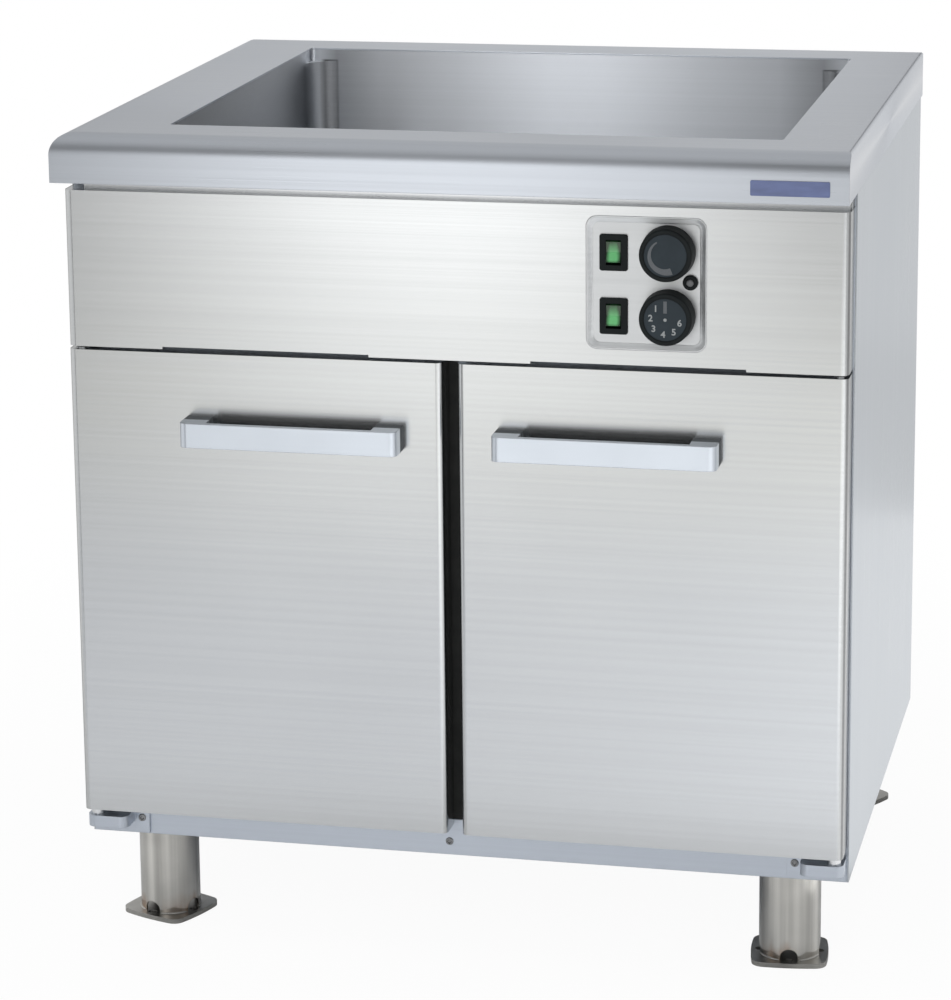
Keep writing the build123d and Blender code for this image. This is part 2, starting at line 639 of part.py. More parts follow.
def make_fascia():
    """Control fascia: a folded front with rounded upright edges, closed below and open behind.
    Its top is folded back below the worktop's front lip, then up on three sides to its underside."""
    def shell(inset, back_y, top_z):
        x = door_outer_x - inset
        form = block(-x, x, door_face_y + inset, back_y, fascia_z + inset, top_z)
        uprights = form.edges().filter_by(Axis.Z).group_by(Axis.Y)[0]
        return fillet(uprights, FASCIA_EDGE_RADIUS - inset)
    fascia = shell(0, frame_face_y, fascia_top_z)
    fascia -= shell(PANEL_SHEET, frame_face_y + MARGIN, fascia_top_z + MARGIN)
    fold_z, fold_y = fascia_top_z - PANEL_SHEET, door_face_y + FASCIA_TOP_FOLD
    x0, x1 = LEFT_EDGE_RADIUS - half_width, half_width - RIGHT_EDGE_RADIUS
    slab = block(-half_width, half_width, door_face_y, frame_face_y, fold_z, fascia_top_z)
    folds = shell(0, frame_face_y, fascia_top_z) & slab
    folds += block(x0, x1, fold_y - PANEL_SHEET, frame_face_y, fold_z, under_top_z)
    folds -= block(x0 + PANEL_SHEET, x1 - PANEL_SHEET, fold_y, frame_face_y + MARGIN, fascia_z, HEIGHT)
    fascia += folds
    window = RectangleRounded(PANEL_WIDTH + 2 * PANEL_SHEET, PANEL_HEIGHT + 2 * PANEL_SHEET,
                              PANEL_CORNER_RADIUS + PANEL_SHEET)
    window_back = door_face_y + PANEL_SHEET + FIT
    fascia -= facing(window, panel_x, panel_z, door_face_y - MARGIN, window_back)
    for side in (-1, 1):
        vent = mirrored(VENT_CENTRE - VENT_LENGTH / 2, VENT_CENTRE + VENT_LENGTH / 2, side)
        vent_top, vent_back = fascia_z + VENT_HEIGHT, door_face_y + VENT_DEPTH
        fascia -= block(*vent, door_face_y - MARGIN, vent_back, fascia_z - MARGIN, vent_top)
        pin_room = PIN_RADIUS + CLEARANCE
        fascia -= rod(side * pivot_x, pivot_y, fascia_z - MARGIN, fascia_z + MARGIN, pin_room)
    return fascia


def recess_form(grow, back_y):
    """The pressed recess, tapering from its mouth at the fascia's face to its floor."""
    mouth = RectangleRounded(PANEL_WIDTH + 2 * grow, PANEL_HEIGHT + 2 * grow, PANEL_CORNER_RADIUS + grow)
    floor_radius = PANEL_CORNER_RADIUS - RECESS_SLOPE / 2 + grow
    floor = RectangleRounded(PANEL_WIDTH - 2 * RECESS_SLOPE + 2 * grow,
                             PANEL_HEIGHT - 2 * RECESS_SLOPE + 2 * grow, floor_radius)
    front = Plane(origin=(panel_x, door_face_y, panel_z), x_dir=(1, 0, 0), z_dir=(0, -1, 0))
    back = Plane(origin=(panel_x, back_y, panel_z), x_dir=(1, 0, 0), z_dir=(0, -1, 0))
    return loft([back * floor, front * mouth])


def make_control_panel():
    """The recessed control panel with its rear flange and the holes of the controls."""
    panel = recess_form(PANEL_SHEET, recess_back_y)
    flange_grow = PANEL_SHEET + RECESS_FLANGE
    flange = RectangleRounded(PANEL_WIDTH + 2 * flange_grow, PANEL_HEIGHT + 2 * flange_grow,
                              PANEL_CORNER_RADIUS + flange_grow)
    flange_front = door_face_y + PANEL_SHEET
    panel += facing(flange, panel_x, panel_z, flange_front, flange_front + PANEL_SHEET)
    panel -= recess_form(0, recess_face_y)
    y0, y1 = recess_face_y - MARGIN, recess_back_y + MARGIN
    slot = Rectangle(SWITCH_BODY_WIDTH + 2 * FIT, SWITCH_BODY_HEIGHT + 2 * FIT)
    for row in row_z:
        panel -= facing(slot, switch_x, switch_z[row], y0, y1)
        panel -= reaching(knob_x, row_z[row], y0, y1, THERMOSTAT_BUSH_RADIUS + FIT)
    return panel - reaching(reset_x, reset_z, y0, y1, RESET_NECK_RADIUS + FIT)


def make_switch_housing(z):
    """Rocker switch housing: bezel, body, rocker pocket and trunnion holes."""
    outline = RectangleRounded(BEZEL_WIDTH, BEZEL_HEIGHT, BEZEL_CORNER_RADIUS)
    bezel = facing(outline, switch_x, z, bezel_face_y, recess_face_y)
    rim = bezel.faces().sort_by(Axis.Y)[0].edges()
    bezel = fillet(rim, BEZEL_EDGE_RADIUS)
    body_back = recess_face_y + SWITCH_BODY_DEPTH
    body = Rectangle(SWITCH_BODY_WIDTH, SWITCH_BODY_HEIGHT)
    housing = bezel + facing(body, switch_x, z, recess_face_y, body_back)
    pocket_width = ROCKER_WIDTH + 2 * ROCKER_SIDE_CLEARANCE
    pocket_reach = rocker_radius() + ROCKER_END_CLEARANCE
    pocket = facing(Rectangle(pocket_width, 2 * pocket_reach), switch_x, z,
                    bezel_face_y - MARGIN, rocker_pivot_y + ROCKER_REACH)
    hole_length = pocket_width + 2 * TRUNNION_LENGTH + 2 * FIT
    pivot = Pos(switch_x, rocker_pivot_y, z) * Rot(0, 90, 0)
    return housing - pocket - pivot * Cylinder(TRUNNION_RADIUS + FIT, hole_length)


def rocker_radius():
    """The largest distance from the rocker's pivot to its corners."""
    return math.hypot(ROCKER_PIVOT_DEPTH + ROCKER_PROUD, ROCKER_REACH)


def make_rocker(z):
    """The lit rocker: two shallow pads that meet at the middle, on two trunnions, tilted to on."""
    front = -(ROCKER_PIVOT_DEPTH + ROCKER_PROUD)
    valley = front + ROCKER_DISH
    waist, back = ROCKER_REACH + ROCKER_BULGE, ROCKER_PIVOT_DEPTH - ROCKER_BULGE
    outline = Polyline((front, ROCKER_REACH), (valley, 0), (front, -ROCKER_REACH), (0, -waist),
                       (back, -waist / 2), (back, waist / 2), (0, waist), close=True)
    section = Plane.YZ * make_face(outline)
    pads = extrude(section, ROCKER_WIDTH / 2, both=True)
    pins = Rot(0, 90, 0) * Cylinder(TRUNNION_RADIUS, ROCKER_WIDTH + 2 * TRUNNION_LENGTH)
    return Pos(switch_x, rocker_pivot_y, z) * Rot(-ROCKER_TILT, 0, 0) * (pads + pins)


def spindle_section(radius):
    """A round bar section with one flat."""
    cut = Pos(0, SPINDLE_FLAT + radius) * Rectangle(4 * radius, 2 * radius)
    return Circle(radius) - cut


def make_spindle(z):
    """Thermostat spindle with a flat that drives the knob."""
    tip_y = knob_face_y + KNOB_DISH + KNOB_WALL + FIT
    tail_y = recess_back_y + MARGIN - SOFT_CLEARANCE
    return facing(spindle_section(SPINDLE_RADIUS), knob_x, z, tip_y, tail_y)


def make_knob(z):
    """Hollow knob with a tapered skirt, a soft front edge, a sunk dial face and a keyed hub."""
    turned = Pos(knob_x, (knob_face_y + knob_base_y) / 2, z) * Rot(90, 0, 0)
    knob = turned * Cone(KNOB_RADIUS, KNOB_RADIUS - KNOB_TAPER, KNOB_HEIGHT)
    rim = knob.edges().filter_by(GeomType.CIRCLE).sort_by(Axis.Y)[0]
    knob = fillet(rim, KNOB_EDGE_RADIUS)
    cavity_front = knob_face_y + KNOB_DISH + KNOB_WALL
    inner_radius = KNOB_RADIUS - KNOB_TAPER - KNOB_WALL
    cavity = reaching(knob_x, z, cavity_front, knob_base_y + MARGIN, inner_radius)
    hub_back = knob_base_y - THERMOSTAT_BUSH_PROUD
    cavity -= reaching(knob_x, z, cavity_front, hub_back, KNOB_HUB_RADIUS)
    keyway = spindle_section(SPINDLE_RADIUS + PIN_CLEARANCE)
    bore = facing(keyway, knob_x, z, cavity_front, knob_base_y + MARGIN)
    dish = reaching(knob_x, z, knob_face_y - MARGIN, knob_face_y + KNOB_DISH, KNOB_FACE_RADIUS)
    return knob - cavity - bore - dish


def make_thermostat(z):
    """Capillary thermostat: body, threaded bush through the panel and two terminal tabs."""
    body_back = recess_back_y + THERMOSTAT_DEPTH
    outline = RectangleRounded(THERMOSTAT_WIDTH, THERMOSTAT_HEIGHT, DEVICE_CORNER_RADIUS)
    body = facing(outline, knob_x, z, recess_back_y, body_back)
    bush_front = recess_face_y - THERMOSTAT_BUSH_PROUD
    body += reaching(knob_x, z, bush_front, recess_back_y, THERMOSTAT_BUSH_RADIUS)
    for side in (-1, 1):
        tab = Rectangle(TERMINAL_TAB_SHEET, TERMINAL_TAB)
        tab_x = knob_x + side * TERMINAL_TAB_OFFSET
        body += facing(tab, tab_x, z, body_back, body_back + TERMINAL_TAB)
    bore = SPINDLE_RADIUS + PIN_CLEARANCE
    return body - reaching(knob_x, z, bush_front - MARGIN, recess_back_y + MARGIN, bore)


def make_limit_thermostat():
    """Over-heat cut-out: round cap on the panel, neck, body and the bore of its reset button."""
    cap = reaching(reset_x, reset_z, recess_face_y - RESET_CAP_HEIGHT, recess_face_y, RESET_CAP_RADIUS)
    rim = cap.edges().filter_by(GeomType.CIRCLE).sort_by(Axis.Y)[0]
    body = fillet(rim, RESET_CAP_EDGE)
    body += reaching(reset_x, reset_z, recess_face_y, recess_back_y, RESET_NECK_RADIUS)
    body_back = recess_back_y + RESET_BODY_DEPTH
    outline = RectangleRounded(RESET_BODY, RESET_BODY, DEVICE_CORNER_RADIUS)
    body += facing(outline, reset_x, reset_z, recess_back_y, body_back)
    bore_back = recess_back_y + RESET_BORE_DEPTH
    return body - reaching(reset_x, reset_z, recess_face_y - MARGIN, bore_back, RESET_BUTTON_RADIUS + FIT)


def make_reset_button():
    """The reset pin, with a domed tip that stands just proud of the cap."""
    tip_y = recess_face_y - RESET_CAP_HEIGHT - RESET_BUTTON_PROUD
    back_y = recess_back_y + RESET_BORE_DEPTH - RESET_TRAVEL - FIT
    button = reaching(reset_x, reset_z, tip_y, back_y, RESET_BUTTON_RADIUS)
    rim = button.edges().filter_by(GeomType.CIRCLE).sort_by(Axis.Y)[0]
    return fillet(rim, RESET_BUTTON_EDGE)


def make_badge_plate():
    """A bare name-plate place on the apron."""
    outline = RectangleRounded(BADGE_WIDTH, BADGE_HEIGHT, BADGE_CORNER_RADIUS)
    front_y = top_front_y - BADGE_THICKNESS
    return facing(outline, badge_x, HEIGHT - BADGE_BELOW_TOP, front_y, top_front_y)


def make_cable_gland():
    """Cable gland through the base: thread, hexagon and domed cap round one bore."""
    x, y = gland_x, rear_cavity_y
    hex_z = base_under_z - GLAND_HEX_HEIGHT
    gland = rod(x, y, base_under_z, base_top_z + MARGIN, GLAND_THREAD_RADIUS)
    hexagon = RegularPolygon(GLAND_HEX / 2, 6, major_radius=False)
    gland += upright(hexagon, x, y, hex_z, base_under_z)
    cap_z = base_under_z - GLAND_LENGTH
    cap = rod(x, y, cap_z, hex_z, GLAND_HEX / 2 - GLAND_CAP_STEP)
    rim = cap.edges().filter_by(GeomType.CIRCLE).sort_by(Axis.Z)[0]
    gland += fillet(rim, GLAND_CAP_RADIUS)
    return gland - rod(x, y, cap_z - MARGIN, base_top_z + 2 * MARGIN, GLAND_BORE_RADIUS)


def make_terminal_block():
    """Mains terminals on the back sheet: a bar with barrier ribs between its ways."""
    x0 = gland_x - TERMINAL_WIDTH / 2
    z0 = liner_floor_z
    y0 = back_inside_y - TERMINAL_DEPTH
    bar = block(x0, x0 + TERMINAL_WIDTH, y0, back_inside_y, z0, z0 + TERMINAL_HEIGHT)
    pitch = TERMINAL_WIDTH / TERMINAL_WAYS
    for i in range(TERMINAL_WAYS):
        pocket_x = x0 + i * pitch + TERMINAL_RIB / 2
        bar -= block(pocket_x, pocket_x + pitch - TERMINAL_RIB, y0 - MARGIN, y0 + TERMINAL_POCKET,
                     z0 - MARGIN, z0 + TERMINAL_HEIGHT + MARGIN)
    return bar


def tongue(side, inset, z0, z1):
    """The hinge bracket's tongue, rounded at its front and moved inwards by inset."""
    inner, outer = door_outer_x - BRACKET_TONGUE_WIDTH + inset, door_outer_x - inset
    front = pivot_y - TONGUE_FRONT_MARGIN + inset
    plate = block(*mirrored(inner, outer, side), front, frame_face_y, z0, z1)
    corners = plate.edges().filter_by(Axis.Z).group_by(Axis.Y)[0]
    return fillet(corners, TONGUE_CORNER_RADIUS - inset)


def make_hinge_brackets():
    """Four pivot brackets: a screwed plate on the frame and a tongue that holds the pin. The
    lower tongues have a turned-down edge."""
    back = frame_face_y
    face = back - BRACKET_THICKNESS
    outer = door_outer_x
    inner = outer - BRACKET_LENGTH
    step = outer - BRACKET_TONGUE_WIDTH
    brackets = []
    for side in (-1, 1):
        low_z = LEG_HEIGHT + PANEL_SHEET
        lower = block(*mirrored(inner, outer, side), face, back, low_z, lower_tongue_z)
        lower += block(*mirrored(inner, step, side), face, back, low_z, low_z + BRACKET_TAB_HEIGHT)
        lower += tongue(side, 0, lower_tongue_z - BRACKET_SKIRT, lower_tongue_z)
        lower -= tongue(side, BRACKET_THICKNESS, low_z, lower_tongue_z - BRACKET_THICKNESS) & below_door(face)
        upper_end = upper_tongue_z + BRACKET_TAB_HEIGHT - CLEARANCE
        plate = mirrored(inner, outer - CLEARANCE, side)
        upper = block(*plate, face, back, upper_tongue_z, upper_end)
        upper += tongue(side, 0, upper_tongue_z, upper_tongue_z + BRACKET_THICKNESS) & upper_room(side)
        pin = rod(side * pivot_x, pivot_y, LEG_HEIGHT, HEIGHT, PIN_RADIUS)
        brackets += [lower - pin, upper - pin]
    return group(*brackets)


def below_door(back_y):
    """The space under the doors in front of back_y."""
    return block(-half_width, half_width, top_front_y, back_y, LEG_HEIGHT, door_bottom_z)


def upper_room(side):
    """The space inside the fascia's folded end, where the upper tongue fits."""
    x0, x1 = mirrored(0, door_outer_x - CLEARANCE, side)
    front = door_face_y + CLEARANCE
    return block(x0, x1, front, frame_face_y, fascia_z, HEIGHT)


def make_hinge_pins():
    """Four pins: shouldered ones that carry the doors below, plain ones above."""
    pins = []
    for side in (-1, 1):
        x = side * pivot_x
        seat_z = door_bottom_z - SOFT_CLEARANCE
        pin_foot_z = lower_tongue_z - BRACKET_THICKNESS
        lower = rod(x, pivot_y, pin_foot_z, door_bottom_z + PIN_ENGAGEMENT, PIN_RADIUS)
        lower += rod(x, pivot_y, lower_tongue_z, seat_z, PIN_SHOULDER_RADIUS)
        head_z = upper_tongue_z + BRACKET_THICKNESS
        upper = rod(x, pivot_y, door_top_z - PIN_ENGAGEMENT, head_z, PIN_RADIUS)
        upper += rod(x, pivot_y, head_z, head_z + CLEARANCE, PIN_SHOULDER_RADIUS)
        pins += [lower, upper]
    return group(*pins)


def make_centre_stop():
    """The stop plate on the bottom rail, which reaches just above the doors' lower edge so that
    the backs of both doors meet it."""
    z0, z1 = door_bottom_z - STOP_DROP, door_bottom_z + STOP_OVERLAP
    outline = RectangleRounded(STOP_WIDTH, z1 - z0, STOP_CORNER_RADIUS)
    return facing(outline, 0, (z0 + z1) / 2, door_back_y + SOFT_CLEARANCE, frame_face_y)


def make_mullion_seal():
    """The black rubber strip on the middle post, behind the gap between the doors."""
    z0, z1 = door_bottom_z + SEAL_RISE, door_top_z - CLEARANCE
    return block(-SEAL_WIDTH / 2, SEAL_WIDTH / 2, frame_face_y - SEAL_THICKNESS, frame_face_y, z0, z1)


def make_leg(x, y, turn):
    """A round tube leg whose foot has four arched notches over the floor bolts."""
    leg = rod(0, 0, FLANGE_THICKNESS, base_under_z, LEG_RADIUS)
    leg -= rod(0, 0, FLANGE_THICKNESS - MARGIN, base_under_z + MARGIN, LEG_RADIUS - LEG_WALL)
    arch_radius = NOTCH_WIDTH / 2
    arch_z = FLANGE_THICKNESS + NOTCH_HEIGHT - arch_radius
    span = 2 * (LEG_RADIUS + MARGIN)
    for angle in (0, 90):
        notch = block(-arch_radius, arch_radius, -span / 2, span / 2, FLANGE_THICKNESS - MARGIN, arch_z)
        notch += reaching(0, arch_z, -span / 2, span / 2, arch_radius)
        leg -= Rot(0, 0, angle) * notch
    return Pos(x, y, 0) * Rot(0, 0, turn) * leg


def make_foot_flange(x, y, turn):
    """A square floor flange with bowed sides, round corners and four bolt holes."""
    reach = FLANGE_SIZE / 2
    corner = reach - FLANGE_BULGE
    quarter = [(corner, -corner), (corner, corner), (-corner, corner), (-corner, -corner)]
    middles = [(reach, 0), (0, reach), (-reach, 0), (0, -reach)]
    sides = [ThreePointArc(quarter[i], middles[i], quarter[(i + 1) % 4]) for i in range(4)]
    outline = make_face(sides)
    outline = fillet(outline.vertices(), FLANGE_CORNER_RADIUS)
    plate = upright(outline, 0, 0, 0, FLANGE_THICKNESS)
    hole = rod(0, 0, -MARGIN, FLANGE_THICKNESS + MARGIN, FLANGE_HOLE_RADIUS)
    for place in PolarLocations(FLANGE_HOLE_CIRCLE / 2, 4):
        plate -= place * hole
    return Pos(x, y, 0) * Rot(0, 0, turn) * plate


def door_form(inset, back_y):
    """The right door's outer form, moved inwards by inset, with rounded front edges."""
    form = block(door_inner_x + inset, door_outer_x - inset, door_face_y + inset, back_y,
                 door_bottom_z + inset, door_top_z - inset)
    uprights = form.edges().filter_by(Axis.Z).group_by(Axis.Y)[0]
    return fillet(uprights, DOOR_EDGE_RADIUS - inset)


def bush_room(grow):
    """The space of the door's two pivot bushes, grown for holes and pockets."""
    reach, radius = BUSH_LENGTH + grow, BUSH_RADIUS + grow
    lower = rod(pivot_x, pivot_y, door_bottom_z - grow, door_bottom_z + reach, radius)
    upper = rod(pivot_x, pivot_y, door_top_z - reach, door_top_z + grow, radius)
    return [lower, upper]


def make_door_skin():
    """Folded outer skin of the right door, open at the back."""
    skin = door_form(0, door_back_y) - door_form(DOOR_SHEET, door_back_y + MARGIN)
    for room in bush_room(FIT):
        skin -= room
    return skin


def make_door_liner():
    """The flat inner sheet that closes the door's back."""
    x0, x1 = door_inner_x + DOOR_SHEET, door_outer_x - DOOR_SHEET
    z0, z1 = door_bottom_z + DOOR_SHEET, door_top_z - DOOR_SHEET
    return block(x0, x1, door_back_y - DOOR_SHEET, door_back_y, z0, z1)


def make_door_core():
    """The door's insulation, with pockets for the pivot bushes."""
    core = door_form(DOOR_SHEET + FIT, door_back_y - DOOR_SHEET - FIT)
    for room in bush_room(BUSH_POCKET):
        core -= room
    return core


def make_hinge_bushes():
    """Two plain bushes in the door's bottom and top."""
    bushes = []
    for room in bush_room(0):
        bushes.append(room - rod(pivot_x, pivot_y, 0, HEIGHT, PIN_RADIUS + PIN_CLEARANCE))
    return group(*bushes)


def make_door_gasket():
    """Magnetic gasket: a flat rubber frame on the door's back, which closes on the face frame."""
    back = frame_face_y - SOFT_CLEARANCE
    x0, x1 = door_inner_x + GASKET_MARGIN, pivot_x - CLEARANCE
    z0, z1 = door_bottom_z + GASKET_MARGIN / 2, door_top_z - GASKET_MARGIN / 2
    frame = block(x0, x1, door_back_y, back, z0, z1)
    w = GASKET_WIDTH
    return frame - block(x0 + w, x1 - w, door_back_y - MARGIN, back + MARGIN, z0 + w, z1 - w)


def make_handle():
    """Bar handle: a flat bar between two wide end posts, with rounded outer corners and an open
    finger slot behind the bar."""
    x = door_inner_x + HANDLE_FROM_GAP + HANDLE_LENGTH / 2
    z0 = door_top_z - HANDLE_BELOW_TOP - HANDLE_HEIGHT / 2
    form = Pos(0, -HANDLE_REACH / 2) * Rectangle(HANDLE_LENGTH, HANDLE_REACH)
    front = form.vertices().group_by(Axis.Y)[0]
    form = fillet(front, HANDLE_EDGE_RADIUS)
    slot_reach = HANDLE_REACH - HANDLE_THICKNESS
    slot = Rectangle(HANDLE_LENGTH - 2 * HANDLE_POST, 2 * slot_reach)
    return upright(form - slot, x, door_face_y, z0, z0 + HANDLE_HEIGHT)


def both_doors(make):
    """A right-hand door piece and its mirror image for the left door."""
    right = make()
    return {"right": right, "left": mirror(right, about=Plane.YZ)}


def build():
    """Every node of the object, by name."""
    nodes = {
        "worktop": make_worktop(),
        "well_tank": make_well_tank(),
        "drain_fitting": make_drain_fitting(),
        "drain_pipe": make_drain_pipe(),
        "standpipe": make_standpipe(),
        "well_heater": make_well_heater(),
        "insulation_tray": make_insulation_tray(),
        "insulation": make_insulation(),
        "side_panel_left": make_side_panel(-1),
        "side_panel_right": make_side_panel(1),
        "back_panel": make_back_panel(),
        "bottom_panel": make_bottom_panel(),
        "front_frame": make_front_frame(),
        "cabinet_liner": make_liner(),
        "cabinet_heater": make_cabinet_heater(),
        "shelf": make_shelf(),
        "shelf_rails": make_shelf_rails(),
        "fascia": make_fascia(),
        "control_panel": make_control_panel(),
        "limit_thermostat": make_limit_thermostat(),
        "reset_button": make_reset_button(),
        "badge_plate": make_badge_plate(),
        "cable_gland": make_cable_gland(),
        "terminal_block": make_terminal_block(),
        "hinge_brackets": make_hinge_brackets(),
        "hinge_pins": make_hinge_pins(),
        "centre_stop": make_centre_stop(),
        "mullion_seal": make_mullion_seal(),
    }
    for row, z in row_z.items():
        nodes["switch_housing_" + row] = make_switch_housing(switch_z[row])
        nodes["rocker_" + row] = make_rocker(switch_z[row])
        nodes["thermostat_" + row] = make_thermostat(z)
        nodes["spindle_" + row] = make_spindle(z)
        nodes["knob_" + row] = make_knob(z)
    for place, (x, y, turn) in LEGS.items():
        nodes["leg_" + place] = make_leg(x, y, turn)
        nodes["foot_flange_" + place] = make_foot_flange(x, y, turn)
    door_pieces = {
        "door_skin": make_door_skin,
        "door_liner": make_door_liner,
        "door_core": make_door_core,
        "door_gasket": make_door_gasket,
        "hinge_bushes": make_hinge_bushes,
        "handle": make_handle,
    }
    for name, make in door_pieces.items():
        for side, piece in both_doors(make).items():
            nodes[name + "_" + side] = piece
    return nodes


os.makedirs("parts", exist_ok=True)
for node_name, shape in build().items():
    export_step(shape, os.path.join("parts", node_name + ".step"))
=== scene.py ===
import math
from functools import partialmethod

import bmesh
import bpy
import numpy as np
from bpy.props import FloatProperty, FloatVectorProperty, IntProperty, PointerProperty
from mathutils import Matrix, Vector


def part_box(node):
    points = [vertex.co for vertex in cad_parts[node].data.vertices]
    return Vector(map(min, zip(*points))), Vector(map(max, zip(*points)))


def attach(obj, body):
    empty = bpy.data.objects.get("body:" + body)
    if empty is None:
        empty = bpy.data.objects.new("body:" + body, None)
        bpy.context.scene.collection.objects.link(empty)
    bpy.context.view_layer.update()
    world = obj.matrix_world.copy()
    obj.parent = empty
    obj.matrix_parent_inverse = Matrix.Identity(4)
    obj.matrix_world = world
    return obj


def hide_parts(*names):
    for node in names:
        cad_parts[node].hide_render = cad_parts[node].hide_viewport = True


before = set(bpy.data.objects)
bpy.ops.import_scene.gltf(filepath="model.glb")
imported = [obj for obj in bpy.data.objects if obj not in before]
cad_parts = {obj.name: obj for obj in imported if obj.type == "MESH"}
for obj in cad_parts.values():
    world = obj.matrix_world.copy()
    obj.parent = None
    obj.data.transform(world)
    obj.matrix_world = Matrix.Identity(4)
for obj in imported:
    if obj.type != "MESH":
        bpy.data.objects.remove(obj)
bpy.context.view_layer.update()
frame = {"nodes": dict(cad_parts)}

bl_info = {
    "name": "Bain-marie looks",
    "version": (1, 0, 0),
    "blender": (4, 5, 0),
    "location": "3D View > Sidebar > Bain-marie",
    "description": "Finishes, fixings, dial print and a pale studio for a stainless bain-marie",
    "category": "Object",
}

RIGHT, BACK, UP = np.eye(3)
WHITE = (1.0, 1.0, 1.0, 1.0)

# Noise scales along and across the brushing, and the depth of its scratches in metres
ALONG_GRAIN, ACROSS_GRAIN, SCRATCH_DEPTH = 0.9, 850.0, 0.0000022

# Scale of the grit on moulded plastic and its depth in metres
GRIT_SCALE, GRIT_DEPTH = 2600.0, 0.00003

# Distances in metres: a sheet's thickness at its folds, and a seam's soft step
FOLD, SEAM = 0.0015, 0.001


# Settings that a user would change

def tint(name, description, default):
    """A colour property."""
    return FloatVectorProperty(name=name, description=description, default=default, size=3, min=0.0, max=1.0,
                               subtype="COLOR")


def length(name, description, default):
    """A length property, in metres."""
    return FloatProperty(name=name, description=description, default=default, min=0.0, unit="LENGTH", precision=5)


def share(name, description, default):
    """A property from nothing to all."""
    return FloatProperty(name=name, description=description, default=default, min=0.0, max=1.0, subtype="FACTOR")


def level(name, description, default):
    """A light's strength, where one is white."""
    return FloatProperty(name=name, description=description, default=default, min=0.0)


def mirrored(name, place, default):
    """The strength of a part of the room that the steel mirrors."""
    return level(name, "Mirrored brightness of the " + place, default)


class MetalSettings(bpy.types.PropertyGroup):
    """Colours and brushing of the metal pieces."""

    worktop: tint("Worktop", "Brushed steel of the worktop", (0.47, 0.495, 0.535))
    well: tint("Well", "Pressed steel of the well", (0.545, 0.565, 0.595))
    front: tint("Front", "Brushed steel of the fascia and doors", (0.508, 0.518, 0.523))
    sides: tint("Sides", "Brushed steel of the side and back panels", (0.452, 0.480, 0.510))
    frame: tint("Frame", "Steel of the frame behind the doors", (0.495, 0.535, 0.595))
    lining: tint("Lining", "Bright steel inside the cupboard", (0.60, 0.60, 0.59))
    legs: tint("Legs", "Warm polished steel of the tube legs", (0.60, 0.59, 0.56))
    handles: tint("Handles", "Satin aluminium of the handles", (0.58, 0.62, 0.67))
    plated: tint("Plated fittings", "Chrome of the drain and pins", (0.66, 0.67, 0.68))
    element: tint("Heating element", "Heat-stained sheath of the heaters", (0.20, 0.17, 0.15))
    roughness: share("Roughness", "Roughness of the brushed steel", 0.31)
    brushing: share("Brushing", "How far the brushing stretches a highlight across the grain", 0.75)


class PlasticSettings(bpy.types.PropertyGroup):
    """Colours of the moulded, printed and soft pieces."""

    black: tint("Black", "Moulded knobs, bezels and caps", (0.017, 0.0215, 0.0225))
    dial: tint("Dial face", "Dull face sunk into a knob", (0.030, 0.040, 0.048))
    green: tint("Green", "Lens of the lit rockers", (0.055, 0.20, 0.075))
    ink: tint("Ink", "Pale print on the lower dial", (0.32, 0.34, 0.345))
    faint_ink: tint("Faint ink", "Dim print on both dials", (0.105, 0.115, 0.125))
    blue: tint("Blue", "Enamel of the bare plate", (0.085, 0.117, 0.27))
    grey: tint("Grey", "Cable gland and reset pin", (0.16, 0.165, 0.17))
    pale: tint("Pale", "Bushes, thermostats and terminal block", (0.58, 0.59, 0.60))
    rubber: tint("Rubber", "Door seals", (0.020, 0.021, 0.020))
    wool: tint("Wool", "Mineral wool between the skins", (0.45, 0.36, 0.17))
    # Painted glow: light that the rocker's lens gives off of its own
    glow: level("Rocker glow", "Light from inside a green rocker", 0.30)


class FixingSettings(bpy.types.PropertyGroup):
    """Sizes of the small pieces and of the places that a finish follows."""

    screw_radius: length("Screw head radius", "Radius of the pan heads", 0.0042)
    screw_height: length("Screw head height", "How far a pan head stands out", 0.0016)
    weld_radius: length("Weld bead radius", "Half the width of the weld beads on the legs", 0.0016)
    notch_width: length("Foot notch", "Width of the arches in a leg's foot, which the weld leaves out", 0.018)
    ink_height: length("Ink height", "Thickness of the print on the dials", 0.00012)
    figure_height: length("Figure height", "Height of the figures on the lower dial", 0.0064)
    figures: IntProperty(name="Figures", description="How many figures are on the lower dial", default=6, min=2,
                         max=9)
    handle_post: length("Handle post", "Width of the posts at the ends of a handle", 0.027)
    handle_bar: length("Handle bar", "Thickness of a handle's bar", 0.007)
    # Painted shadow: depth of the dark base of a handle's posts, where they meet the door
    handle_base: length("Handle base", "Depth of the dark base of a handle's posts", 0.013)
    recess_depth: length("Recess depth", "Depth of the pressed recess round the controls", 0.0025)
    well_rim: length("Well rim", "Width of the well's rim under the worktop", 0.0135)
    well_mouth: length("Well mouth", "Depth of the well's square mouth, above its rounded corners", 0.011)
    well_corner: length("Well corner", "Radius of the well's upright corners", 0.030)
    seal_width: length("Seal width", "Width of the door seal's section", 0.014)


